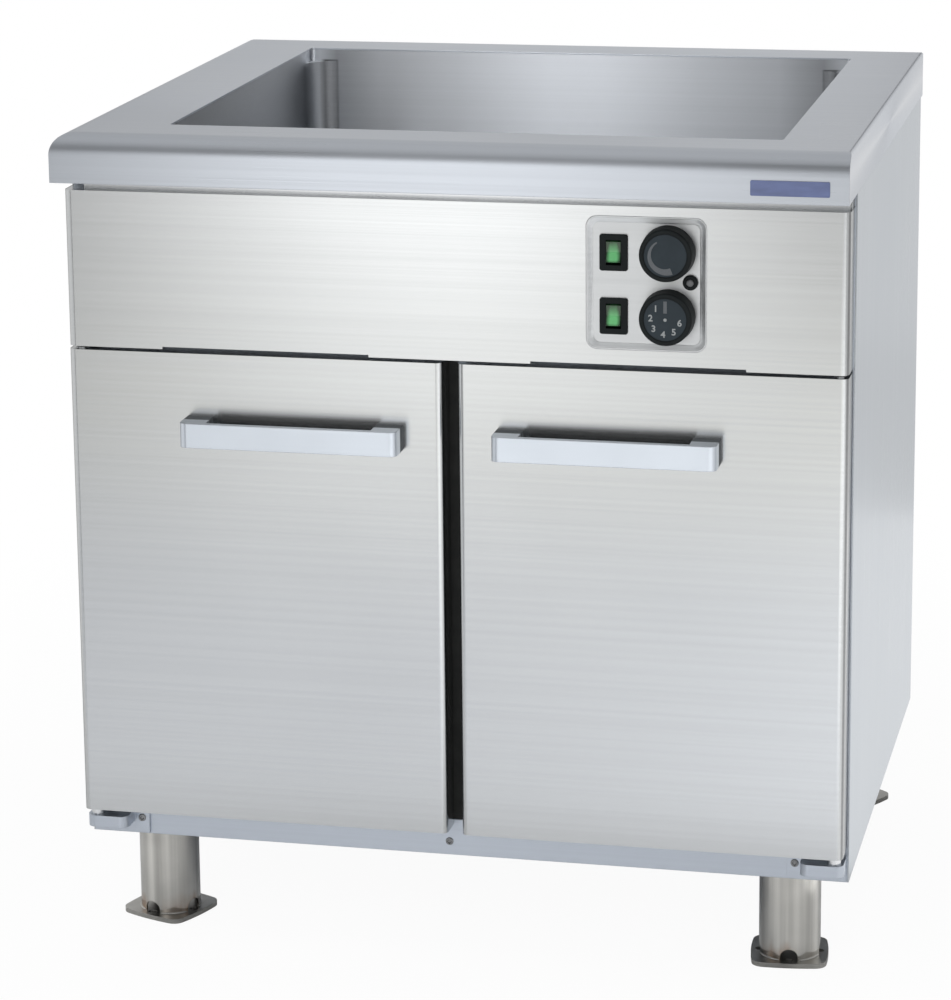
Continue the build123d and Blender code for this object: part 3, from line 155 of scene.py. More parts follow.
class StageSettings(bpy.types.PropertyGroup):
    """The camera, the lamps, the pale floor and what the steel mirrors."""

    camera_place: FloatVectorProperty(name="Camera place", description="Where the camera stands",
                                      default=(0.7989, -3.7947, 1.4512), subtype="TRANSLATION", unit="LENGTH")
    camera_turn: FloatVectorProperty(name="Camera turn", description="How the camera is turned",
                                     default=(math.radians(77.145), math.radians(0.752), math.radians(13.288)),
                                     subtype="EULER", unit="ROTATION")
    lens: FloatProperty(name="Lens", description="Focal length in millimetres", default=132.576, min=1.0)
    shift_right: FloatProperty(name="Shift right", description="The lens's shift to the right", default=0.0597)
    shift_up: FloatProperty(name="Shift up", description="The lens's shift upwards", default=-0.1386)
    floor_tone: share("Floor tone", "Grey level of the floor", 0.86)
    floor_white: share("Floor white", "Share of plain white that the background adds to the floor", 0.95)
    daylight: level("Daylight", "Even light from all around", 0.62)
    key: level("Key lamp", "Power of the soft lamp in front, in watts", 26.0)
    top: level("Top lamp", "Power of the soft lamp overhead, in watts", 26.0)
    window: mirrored("Window", "window in front, on the left", 2.28)
    window_head: mirrored("Window head", "room above the window's middle", 0.35)
    softbox: mirrored("Softbox", "box over the well, which faces its back wall", 3.9)
    room: mirrored("Room", "room in front", 0.72)
    shade: mirrored("Shade", "room above the window", 0.12)
    overhead: mirrored("Overhead", "ceiling's middle", 0.80)
    backdrop: mirrored("Backdrop", "room behind", 0.82)
    alcove: mirrored("Alcove", "dark alcove behind", 0.22)
    left_wall: mirrored("Left wall", "dark wall on the left", 0.28)
    right_wall: mirrored("Right wall", "wall on the right", 0.74)
    front_floor: mirrored("Front floor", "floor in front, at its right end", 1.72)
    far_floor: level("Far floor", "How much brighter the far half of the floor in front is", 1.12)
    warm: tint("Warm floor", "Tint of the far half of the floor in front", (1.0, 0.99, 0.93))
    cool: tint("Cool floor", "Tint of the near half of the floor in front", (0.95, 0.965, 1.0))
    corner_floor: mirrored("Corner floor", "floor in front, on the right", 1.90)
    right_floor: mirrored("Right floor", "floor on the right", 1.18)
    back_floor: mirrored("Back floor", "floor behind, on the right", 0.85)


# Surfaces and their places

def grid_faces(rows, columns, wrap_rows=False, wrap_columns=False):
    """Four-sided faces between the neighbours of a grid of points, closed where a direction wraps."""
    row, column = np.meshgrid(np.arange(rows if wrap_rows else rows - 1),
                              np.arange(columns if wrap_columns else columns - 1), indexing="ij")
    next_row, next_column = (row + 1) % rows, (column + 1) % columns
    corners = [row * columns + column, row * columns + next_column,
               next_row * columns + next_column, next_row * columns + column]
    return np.stack(corners, axis=-1).reshape(-1, 4)


def repeated(points, faces, frames):
    """Copies of a shape: each point is its frame's origin plus x times right, y times up and z times out."""
    frames = np.asarray(frames, float)
    placed = frames[:, None, 0] + np.einsum("nk,fkd->fnd", points, frames[:, 1:])
    offsets = np.arange(len(frames))[:, None, None] * len(points)
    return placed.reshape(-1, 3), (faces[None] + offsets).reshape(-1, faces.shape[1])


def joined(*shapes):
    """Several shapes of points and faces as one."""
    counts = np.cumsum([0] + [len(points) for points, _ in shapes])
    points = np.concatenate([points for points, _ in shapes])
    return points, np.concatenate([faces + start for (_, faces), start in zip(shapes, counts)])


def thin_sheet(x, y, thickness):
    """A closed sheet over a grid of x and y: a front at the thickness, a back at zero and the strips that join them."""
    rows, columns = x.shape
    front = np.stack([x, y, np.full_like(x, thickness)], axis=-1)
    layers = np.stack([front, front * (1, 1, 0)]).reshape(-1, 3)
    face = grid_faces(rows, columns)
    index = np.arange(rows * columns).reshape(rows, columns)
    rim = np.concatenate([index[0, :-1], index[:-1, -1], index[-1, :0:-1], index[:0:-1, 0]])
    following = np.roll(rim, -1)
    strip = np.stack([rim, following, following + rows * columns, rim + rows * columns], axis=-1)
    return layers, np.concatenate([face, face[:, ::-1] + rows * columns, strip])


def add_object(name, data):
    """A new object, at the origin, that is in the scene."""
    thing = bpy.data.objects.new(name, data)
    bpy.context.scene.collection.objects.link(thing)
    return thing


def make_piece(name, shape, finish, body, sharp=40.0):
    """A mesh piece with its doubles merged and its faces turned outwards, riding on a body."""
    points, faces = shape
    mesh = bpy.data.meshes.new(name)
    mesh.from_pydata(points.tolist(), [], faces.tolist())
    work = bmesh.new()
    work.from_mesh(mesh)
    bmesh.ops.remove_doubles(work, verts=work.verts, dist=1e-7)
    bmesh.ops.dissolve_degenerate(work, edges=work.edges, dist=1e-8)
    bmesh.ops.recalc_face_normals(work, faces=work.faces)
    work.to_mesh(mesh)
    work.free()
    mesh.shade_smooth()
    mesh.set_sharp_from_angle(angle=math.radians(sharp))
    mesh.materials.append(finish)
    piece = add_object(name, mesh)
    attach(piece, body)
    return piece


def screw_head(radius, height):
    """A pan head with a cross recess.

    The square grid a, b is bent onto a disc by x = a sqrt(1 - b²/2) and y = b sqrt(1 - a²/2). The dome is the
    height times the square root of 1 - r⁴, less a cross of two smooth-sided grooves, and a flat back closes it.
    """
    groove_width, groove_length, groove_depth = 0.24, 0.62, 0.85
    steps = np.linspace(-1, 1, 27)
    a, b = np.meshgrid(steps, steps, indexing="ij")
    x, y = a * np.sqrt(1 - b**2 / 2), b * np.sqrt(1 - a**2 / 2)
    dome = np.sqrt(np.clip(1 - np.hypot(x, y)**4, 0, None))
    groove = np.clip((groove_width - np.minimum(abs(x), abs(y))) / 0.10, 0, 1)
    reach = np.clip((groove_length - np.maximum(abs(x), abs(y))) / 0.12, 0, 1)
    heights = height * (dome - groove_depth * groove * reach)
    front = np.stack([x * radius, y * radius, heights], axis=-1).reshape(-1, 3)
    faces = grid_faces(len(steps), len(steps))
    return joined((front, faces), (front * (1, 1, 0), faces[:, ::-1]))


def weld_bead(centre, ring_radius, bead_radius, start, stop, ripples):
    """A rippled bead round a tube's end.

    Its centre line is an arc; its section is a circle whose radius swells with the ripples and, on an open arc,
    runs out to nothing at both ends with the fourth root of the sine.
    """
    ripple, full = 0.12, abs(stop - start) > 2 * math.pi - 0.01
    around = np.linspace(start, stop, ripples * 4 + 1)[:, None]
    section = np.linspace(0, 2 * math.pi, 11)[None, :]
    run = (around - start) / (stop - start)
    swell = bead_radius * (1 - ripple + ripple * np.cos(2 * math.pi * ripples * run))
    if not full:
        swell = swell * np.clip(np.sin(math.pi * run), 0, 1)**0.25
    out = ring_radius + swell * np.cos(section)
    points = np.stack([centre[0] + out * np.cos(around), centre[1] + out * np.sin(around),
                       centre[2] + swell * np.sin(section)], axis=-1)
    return points.reshape(-1, 3), grid_faces(*points.shape[:2])


def seal_frame(low, high, width):
    """A door seal: a ribbed bulb section carried round a rectangle with mitred corners.

    Every point of the section keeps its distance u inside the outer rectangle, so it draws a smaller rectangle;
    the section runs along the flat base, then back over the bulb, whose depth is a half sine with two grooves.
    """
    fullness, groove, foot = 0.45, 0.16, 0.12
    turn = np.linspace(0, 1, 33)
    bulb = np.sin(math.pi * turn)**fullness * (1 - groove * np.cos(6 * math.pi * turn)**8)
    u = np.concatenate([[0.0], width * turn, [width]])
    depth = np.concatenate([[0.0], foot + (1 - foot) * bulb / bulb.max(), [0.0]])
    y = low[1] + (high[1] - low[1]) * depth
    corners = [(low[0], low[2], 1, 1), (high[0], low[2], -1, 1), (high[0], high[2], -1, -1),
               (low[0], high[2], 1, -1)]
    x0, z0, inward_x, inward_z = np.array(corners, float).T[:, :, None]
    points = np.stack([x0 + inward_x * u, np.broadcast_to(y, (4, len(u))), z0 + inward_z * u], axis=-1)
    return points.reshape(-1, 3), grid_faces(4, len(u), wrap_rows=True, wrap_columns=True)


def ring_print(inner, outer, start, stop, thickness, steps=64):
    """A curved mark on a dial: a band between two radii, each of which may change evenly along the angle."""
    run = np.linspace(0, 1, steps)[:, None]
    across = np.linspace(0, 1, 5)[None, :]
    angle = start + (stop - start) * run + 0 * across
    low, high = (ends[0] + (ends[1] - ends[0]) * run for ends in (inner, outer))
    radius = low + (high - low) * across
    return thin_sheet(radius * np.cos(angle), radius * np.sin(angle), thickness)


def bar_print(low, high, thickness):
    """A straight mark on a dial: a flat rectangle between two corners."""
    return thin_sheet(*np.meshgrid(np.linspace(low[0], high[0], 4), np.linspace(low[1], high[1], 8), indexing="ij"),
                      thickness)


def figure_print(text, height, thickness):
    """One printed figure: the built-in letter shape as a mesh, centred and given the ink's thickness."""
    letters = bpy.data.curves.new("figure", "FONT")
    letters.body = text
    letters.size = height * 1.4
    letters.extrude = thickness / 2
    letters.offset = height * 0.035
    carrier = add_object("figure", letters)
    bpy.context.view_layer.update()
    mesh = bpy.data.meshes.new_from_object(carrier.evaluated_get(bpy.context.evaluated_depsgraph_get()))
    mesh.calc_loop_triangles()
    points = np.empty(len(mesh.vertices) * 3)
    mesh.vertices.foreach_get("co", points)
    faces = np.empty(len(mesh.loop_triangles) * 3, int)
    mesh.loop_triangles.foreach_get("vertices", faces)
    bpy.data.objects.remove(carrier)
    bpy.data.curves.remove(letters)
    bpy.data.meshes.remove(mesh)
    points = points.reshape(-1, 3)
    points -= (points.min(0) + points.max(0)) / 2
    points[:, 2] += thickness / 2
    return points, faces.reshape(-1, 3)


# Node trees

class Tree:
    """A node tree under construction, with a short call for each kind of step it needs."""

    def __init__(self, tree):
        self.nodes, self.links = tree.nodes, tree.links

    def add(self, kind, inputs=(), **settings):
        """A new node with its settings. Each of its inputs is named with the output or the value that it takes."""
        node = self.nodes.new("ShaderNode" + kind)
        for name, value in settings.items():
            setattr(node, name, value)
        for socket, source in dict(inputs).items():
            if isinstance(source, bpy.types.NodeSocket):
                self.links.new(source, node.inputs[socket])
            else:
                node.inputs[socket].default_value = source
        return node

    def arithmetic(self, operation, first, second=0.0):
        """One step of arithmetic: a total, a product, or the larger of two values."""
        return self.add("Math", {0: first, 1: second}, operation=operation).outputs[0]

    total = partialmethod(arithmetic, "ADD")
    product = partialmethod(arithmetic, "MULTIPLY")
    either = partialmethod(arithmetic, "MAXIMUM")

    def span(self, source, low, high, start=0.3, stop=0.7, step="LINEAR"):
        """A value moved from the range start to stop into the range low to high."""
        ends = {"Value": source, "From Min": start, "From Max": stop, "To Min": low, "To Max": high}
        return self.add("MapRange", ends, interpolation_type=step).outputs["Result"]

    def inside(self, source, low, high, soft):
        """One where a value lies between low and high, and nothing outside, with a soft step at each end."""
        return self.product(self.span(source, 0.0, 1.0, low, low + soft),
                            self.span(source, 1.0, 0.0, high - soft, high))

    def surface(self, output, source):
        """Makes a shader the surface of the tree's output."""
        self.links.new(source, self.nodes[output].inputs["Surface"])

    def mixed(self, amount, first, second):
        """One shader where the amount is nothing and another where it is one."""
        return self.add("MixShader", {0: amount, 1: first, 2: second}).outputs[0]


class Finish(Tree):
    """A procedural material on object coordinates. Underscores stand for spaces in the names of sockets."""

    def __init__(self, name, **values):
        self.material = bpy.data.materials.new(name)
        self.material.use_nodes = True
        super().__init__(self.material.node_tree)
        self.shader = self.nodes["Principled BSDF"]
        self.place = self.add("TexCoord").outputs["Object"]
        for socket, value in values.items():
            self.shader.inputs[socket.replace("_", " ")].default_value = value

    def made(self, **sources):
        """Joins outputs to the shader's sockets and gives the material."""
        for socket, source in sources.items():
            self.links.new(source, self.shader.inputs[socket.replace("_", " ")])
        return self.material

    def noise(self, scale, detail=3.0, offset=(0.0, 0.0, 0.0)):
        """Noise with one scale, or with its own scale along each axis."""
        scale = scale if isinstance(scale, tuple) else (scale,) * 3
        spread = self.add("Mapping", {"Vector": self.place, "Scale": scale, "Location": offset}).outputs[0]
        return self.add("TexNoise", {"Vector": spread, "Scale": 1.0, "Detail": detail}).outputs["Fac"]

    def grit(self, radius):
        """A normal with fine spark-eroded pits, over softly turned edges."""
        pits = self.add("TexVoronoi", {"Vector": self.place, "Scale": GRIT_SCALE}).outputs["Distance"]
        return self.bump(pits, GRIT_DEPTH, radius)

    def axis(self, index):
        """One of the object's own coordinates."""
        return self.add("SeparateXYZ", {0: self.place}).outputs[index]

    def from_middle(self, middle=0.0):
        """How far a point is to the left or right of a middle."""
        return self.arithmetic("ABSOLUTE", self.arithmetic("SUBTRACT", self.axis(0), middle))

    def distance(self, centre):
        """How far a point is from an axis that runs from front to back through a centre."""
        flat = self.add("VectorMath", {0: self.place, 1: (1.0, 0.0, 1.0), 2: (-centre[0], 0.0, -centre[2])},
                        operation="MULTIPLY_ADD")
        return self.add("VectorMath", {0: flat.outputs[0]}, operation="LENGTH").outputs["Value"]

    def colours(self, source, *stops):
        """A colour ramp over a value, from pairs of place and colour."""
        node = self.add("ValToRGB", {"Fac": source})
        for _ in stops[2:]:
            node.color_ramp.elements.new(0.5)
        for element, (place, colour) in zip(node.color_ramp.elements, stops):
            element.position = place
            element.color = (*colour, 1.0)
        return node.outputs["Color"]

    def tones(self, source, colour, low, high, start=0.3, stop=0.7):
        """One colour, made darker or lighter from low to high over a value."""
        return self.colours(source, (start, toned(colour, low)), (stop, toned(colour, high)))

    def blended(self, share, first, second):
        """One colour where the share is nothing and another where it is one."""
        return self.add("Mix", {0: share, 6: first, 7: second}, data_type="RGBA").outputs[2]

    def bump(self, height, distance, edge=0.0, under=None):
        """A normal bumped by a height, over another normal or over edges that are turned softly by a radius."""
        inputs = {"Height": height, "Distance": distance}
        if edge:
            under = self.add("Bevel", {"Radius": edge}, samples=4).outputs["Normal"]
        if under:
            inputs["Normal"] = under
        return self.add("Bump", inputs).outputs["Normal"]

    def circling(self, axis):
        """A stretch of highlights round an axis of the piece."""
        return self.add("Tangent", direction_type="RADIAL", axis=axis).outputs[0]

    def upright(self):
        """A stretch of highlights up and down the walls of a tank, and from front to back on its floor."""
        return self.add("CombineXYZ", {0: 0.0, 1: 0.1, 2: 1.0}).outputs[0]


# Finishes

def toned(colour, factor):
    """A colour made darker or lighter."""
    return tuple(min(1.0, part * factor) for part in colour)


def folded_ends(finish, ends):
    """One on a sheet's folded ends, which lie past a distance from the middle, where shade is painted, and nothing
    elsewhere.
    """
    return finish.span(finish.from_middle(), 0.0, 1.0, ends - SEAM, ends)


def well_sides(finish, low, high, radius):
    """Painted shade on the well: a share on its side walls that falls from front to back, one on its back wall that
    grows towards both ends, and a larger one on the rounded corners there, which stop at the well's square mouth."""
    wall_share, corner_share, back_share, end_share = 0.92, 0.95, 0.20, 0.55
    soft, line = 0.006, 0.0003
    half = (high.x - low.x) / 2
    bend, bend_y = half - radius, high.y - radius
    round_end = bend + radius * 0.65
    offset, depth = finish.from_middle((low.x + high.x) / 2), finish.axis(1)
    below = finish.span(finish.axis(2), 1.0, 0.0, high.z - line, high.z + line)
    wall = finish.product(finish.span(offset, 0.0, 1.0, half - 0.005, half - 0.001),
                          finish.span(depth, wall_share, 0.0, low.y, bend_y))
    corner = finish.product(finish.inside(offset, bend - soft, round_end, soft),
                            finish.span(depth, 0.0, corner_share, bend_y - soft, bend_y))
    ends = finish.either(finish.span(offset, 0.0, back_share, 0.03, 0.14),
                         finish.span(offset, 0.0, end_share, bend - 0.08, bend))
    back = finish.product(finish.product(ends, finish.span(offset, 1.0, 0.0, bend, round_end)),
                          finish.span(depth, 0.0, 1.0, high.y - 0.012, high.y - 0.004))
    return finish.either(finish.either(wall, back), finish.product(corner, below))


def above(finish, height):
    """One above a height, and nothing below it."""
    return finish.span(finish.axis(2), 0.0, 1.0, height - SEAM, height)


def pressed_edge(finish, face_y, floor_y):
    """One on the slope between a panel's face and its pressed floor, and nothing on either; there light is painted."""
    return finish.inside(finish.axis(1), face_y + 0.0001, floor_y - 0.0001, 0.0003)


def brushed_steel(name, colour, grain="X", tank=False, roughness=None, brushing=None, edge=0.0008,
                  depth=SCRATCH_DEPTH, painted_light=None, painted_light_tone=0.6, painted_light_rough=0.0, painted_light_metal=True):
    """Brushed sheet: fine scratches and broad bands along the grain, soft clouds, eased edges and, where a share says
    so, painted light or shade: places given a darker or lighter copy of the colour and their own roughness."""
    metal = bpy.context.scene.bain_marie_metal
    rough = metal.roughness if roughness is None else roughness
    finish = Finish(name, Metallic=1.0, Anisotropic=metal.brushing if brushing is None else brushing)
    fine = tuple(ALONG_GRAIN if axis == grain else ACROSS_GRAIN for axis in "XYZ")
    scratches = finish.noise(fine, 2.0)
    bands = finish.noise(tuple(part / 3 for part in fine), 3.0, (3.1, 1.7, 5.3))
    clouds = finish.noise(3.5, 4.0)
    tone = finish.total(finish.span(bands, 0.0, 0.6), finish.span(clouds, 0.0, 0.4))
    shades = finish.tones(tone, colour, 0.975, 1.025, 0.1, 0.9)
    sheen = finish.total(finish.span(scratches, rough - 0.03, rough + 0.02), finish.span(clouds, -0.02, 0.03))
    # Painted light and shade: where the share lies, a darker or lighter copy of the colour, rougher, and perhaps not
    # metal
    if painted_light:
        place, *where = painted_light
        part = place(finish, *where)
        shades = finish.blended(part, shades, finish.tones(tone, colour, painted_light_tone * 0.92, painted_light_tone * 1.08, 0.1, 0.9))
        sheen = finish.total(sheen, finish.span(part, 0.0, painted_light_rough, 0.0, 1.0))
        if not painted_light_metal:
            finish.made(Metallic=finish.span(part, 1.0, 0.0, 0.0, 1.0))
    return finish.made(Base_Color=shades, Roughness=sheen, Normal=finish.bump(scratches, depth, edge),
                       Tangent=finish.upright() if tank else finish.circling(grain))


def satin_handle(name, colour, shade, shadow_span, back_y, shadow_base_y):
    """Satin aluminium drawn along the bar, with painted shadow, which is dark, matt and not metal: on the faces behind
    the bar and between its posts, and on the bases where the posts meet the door."""
    finish = Finish(name, Anisotropic=0.3)
    drawn = finish.noise((6, ACROSS_GRAIN, ACROSS_GRAIN), 2.0)
    clouds = finish.noise(12, 4.0)
    depth = finish.axis(1)
    # Painted shadow behind the bar, between the posts and at their bases
    painted_shadow = finish.product(finish.inside(finish.from_middle(), *shadow_span, 0.0002),
                            finish.span(depth, 0.0, 1.0, back_y - 0.0004, back_y - 0.0002))
    painted_shadow = finish.either(painted_shadow, finish.span(depth, 0.0, 0.86, shadow_base_y - 0.0008, shadow_base_y))
    shades = finish.blended(painted_shadow, finish.tones(clouds, colour, 0.97, 1.03), finish.tones(clouds, shade, 0.8, 1.2))
    return finish.made(
        Base_Color=shades, Metallic=finish.span(painted_shadow, 1.0, 0.0, 0.0, 1.0),
        Roughness=finish.total(finish.span(drawn, 0.32, 0.38), finish.span(painted_shadow, 0.0, 0.35, 0.0, 1.0)),
        Normal=finish.bump(drawn, SCRATCH_DEPTH, 0.0012), Tangent=finish.circling("X"))


def turned_metal(name, colour, roughness, stain=0.06):
    """Drawn or turned metal: rings along its length, faint staining and small handling marks."""
    finish = Finish(name, Metallic=1.0)
    rings = finish.noise((60, 60, 900), 2.0)
    stains = finish.noise((14, 14, 22), 5.0)
    sheen = finish.total(finish.span(rings, roughness - 0.03, roughness + 0.03), finish.span(stains, -0.02, 0.05))
    return finish.made(Base_Color=finish.tones(stains, colour, 1 - stain, 1 + stain), Roughness=sheen,
                       Normal=finish.bump(rings, 0.000008, 0.0006))


def drawn_tube(name, colour, tint_low, tint_high):
    """Drawn and polished tube: streaks along its length, handling stains, and brown heat tint above the weld."""
    finish = Finish(name, Metallic=1.0, Anisotropic=0.5)
    streaks = finish.noise((70, 70, 1.2), 4.0)
    stains = finish.noise((14, 14, 22), 5.0)
    tone = finish.total(finish.span(streaks, 0.0, 0.8), finish.span(stains, 0.0, 0.2))
    steel = finish.colours(tone, (0.15, toned(colour, 0.70)), (0.5, colour), (0.85, toned(colour, 1.30)))
    brown = (colour[0] * 0.62, colour[1] * 0.40, colour[2] * 0.27)
    height = finish.total(finish.axis(2), finish.span(finish.noise((90, 90, 30), 3.0), -0.006, 0.006))
    patches = finish.noise((40, 40, 10), 2.0, (2.3, 4.1, 0.7))
    heat = finish.product(finish.span(height, 0.75, 0.0, tint_low, tint_high),
                          finish.span(patches, 0.0, 1.0, 0.42, 0.62))
    return finish.made(Base_Color=finish.blended(heat, steel, finish.tones(stains, brown, 0.8, 1.2)),
                       Roughness=finish.total(finish.span(streaks, 0.13, 0.20), finish.span(stains, -0.02, 0.05)),
                       Normal=finish.bump(streaks, 0.000004, 0.0006), Tangent=finish.circling("Z"))


def moulded(name, colour, roughness, gloss=0.25):
    """Moulded plastic: fine spark-eroded grit, uneven sheen and slightly paler worn patches."""
    finish = Finish(name, Specular_IOR_Level=gloss)
    sheen = finish.noise(55, 4.0)
    return finish.made(Base_Color=finish.tones(sheen, colour, 0.9, 1.12, 0.3, 0.75),
                       Roughness=finish.span(sheen, roughness - 0.06, roughness + 0.08), Normal=finish.grit(0.0005))


def dial_plastic(name, colour, face, centre, face_radius):
    """Moulded knob: a matt sunk face, a little paler than the rim, with a fine groove where the two meet."""
    finish = Finish(name, Specular_IOR_Level=0.10)
    radius = finish.distance(centre)
    sheen = finish.noise(55, 4.0)
    rim = finish.tones(sheen, colour, 0.5, 0.75, 0.3, 0.75)
    disc = finish.tones(sheen, face, 0.9, 1.1, 0.3, 0.75)
    outside = finish.span(radius, 0.0, 1.0, face_radius - SEAM, face_radius)
    groove = finish.inside(radius, face_radius - 0.0006, face_radius + 0.0006, 0.0004)
    return finish.made(Base_Color=finish.blended(outside, disc, rim), Roughness=finish.span(sheen, 0.50, 0.62),
                       Normal=finish.bump(finish.span(groove, 1.0, 0.0, 0.0, 1.0), 0.0003, under=finish.grit(0.0008)))


def green_lens(name, colour, glow, middle, half):
    """Clear green rocker, ribbed inside, with painted glow that is brightest at its lower middle and painted shade that
    keeps its edges dark.
    """
    finish = Finish(name, Roughness=0.16, Coat_Weight=0.3, Emission_Strength=glow)

    def step(index, low, high, start, stop):
        """A span over a coordinate, whose ends are given in half sizes of the lens from its middle."""
        return finish.span(finish.axis(index), low, high, *(middle[index] + half[index] * end for end in (start, stop)))

    # Painted glow and shade: bright at the lens's lower middle, dark towards its edges, with random mottle over it
    across = finish.total(step(0, 0.0, 1.0, -1.0, -0.35), step(0, 0.0, -1.0, 0.35, 1.0))
    upward = finish.total(step(2, 0.2, 1.0, -1.0, -0.6), step(2, 0.0, -0.65, -0.2, 0.95))
    painted_glow_and_mottle = finish.total(finish.product(across, upward), finish.span(finish.noise(300, 2.0), -0.03, 0.03))
    shades = finish.tones(painted_glow_and_mottle, colour, 0.16, 1.9, 0.30, 0.95)
    ribs = finish.add("TexWave", {"Vector": finish.place, "Scale": 160.0}, bands_direction="Z").outputs["Fac"]
    return finish.made(Base_Color=shades, Emission_Color=shades, Normal=finish.bump(ribs, 0.00002, 0.0006))


def soft_rubber(name, colour):
    """Extruded rubber: matt, with faint lines and a dusty bloom."""
    finish = Finish(name, Specular_IOR_Level=0.3)
    bloom = finish.noise(70, 5.0)
    return finish.made(Base_Color=finish.tones(bloom, colour, 0.8, 1.6, 0.35, 0.75),
                       Roughness=finish.span(bloom, 0.62, 0.78), Normal=finish.bump(finish.noise(900, 2.0), 0.00003))


def wool_batt(name, colour):
    """Mineral wool: crossed long fibres and darker clumps."""
    finish = Finish(name, Roughness=0.95, Sheen_Weight=0.25)
    fibres = finish.total(finish.noise((900, 900, 40), 4.0), finish.noise((40, 900, 900), 4.0))
    tone = finish.total(finish.span(fibres, 0.0, 0.6, 0.7, 1.3), finish.span(finish.noise(30, 4.0), 0.0, 0.4))
    return finish.made(Base_Color=finish.tones(tone, colour, 0.6, 1.25, 0.1, 0.9), Normal=finish.bump(fibres, 0.0006))


def stained_sheath(name, colour):
    """Heating element: oxide that runs from brown to blue grey along the tube."""
    finish = Finish(name, Metallic=0.8)
    stain = finish.noise(18, 4.0)
    blue = (colour[0] * 0.7, colour[1] * 0.9, colour[2] * 1.3)
    return finish.made(Base_Color=finish.colours(stain, (0.3, toned(colour, 0.7)), (0.5, colour), (0.7, blue)),
                       Roughness=finish.span(stain, 0.38, 0.55), Normal=finish.bump(finish.noise(700, 2.0), 0.00004))


def enamel(name, colour):
    """Fired enamel on a thin plate: deep, glossy, with slight orange peel and eased edges."""
    finish = Finish(name, Coat_Weight=0.6, Coat_Roughness=0.12)
    pool = finish.noise((40, 40, 160), 3.0)
    return finish.made(Base_Color=finish.tones(pool, colour, 0.85, 1.15), Roughness=finish.span(pool, 0.28, 0.40),
                       Normal=finish.bump(finish.noise(420, 2.0), 0.00003, 0.0005))


def printed(name, colour):
    """Screen-printed ink: matt, a little uneven where the film is thin."""
    finish = Finish(name, Specular_IOR_Level=0.3)
    film = finish.noise(700, 3.0)
    return finish.made(Base_Color=finish.tones(film, colour, 0.82, 1.0, 0.25, 0.6),
                       Roughness=finish.span(film, 0.5, 0.65))


def dress(finish, *nodes):
    """Gives a finish to pieces of the frame."""
    for node in nodes:
        slots = frame["nodes"][node].data.materials
        slots.clear()
        slots.append(finish)


# Operators

def shared_settings(context):
    """The settings of the metal, of the plastic and of the small sizes."""
    return context.scene.bain_marie_metal, context.scene.bain_marie_plastic, context.scene.bain_marie_fixing


class BAINMARIE_OT_worktop(bpy.types.Operator):
    """Finishes the worktop and the well below it"""

    bl_idname = "bainmarie.worktop"
    bl_label = "Worktop and well"

    def execute(self, context):
        metal, _, fixing = shared_settings(context)
        dress(brushed_steel("worktop_brushed", metal.worktop, edge=0.0010), "worktop")
        low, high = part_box("well_tank")
        rim, mouth = fixing.well_rim, fixing.well_mouth
        # Painted shade: the well's side walls, the ends of its back wall and its corners get a much darker copy of the
        # steel
        sides = (well_sides, low + Vector((rim, rim, 0.0)), high - Vector((rim, rim, mouth)), fixing.well_corner)
        dress(brushed_steel("well_brushed", metal.well, tank=True, roughness=0.47, brushing=0.92,
                            painted_light=sides, painted_light_tone=0.3), "well_tank")
        dress(turned_metal("drain_plated", metal.plated, 0.16), "drain_fitting")
        dress(turned_metal("overflow_drawn", metal.well, 0.24), "standpipe", "drain_pipe")
        return {"FINISHED"}


def front_steel(name, colour, roughness, node):
    """The finely brushed steel of the fascia and doors, with painted shade on the folded ends of a piece of the frame.
    """
    # Painted shade: the folded ends get a darker copy of the steel
    return brushed_steel(name, colour, roughness=roughness, brushing=0.6, edge=0.0, depth=0.0000009,
                         painted_light=(folded_ends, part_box(node)[1].x - FOLD), painted_light_tone=0.52)


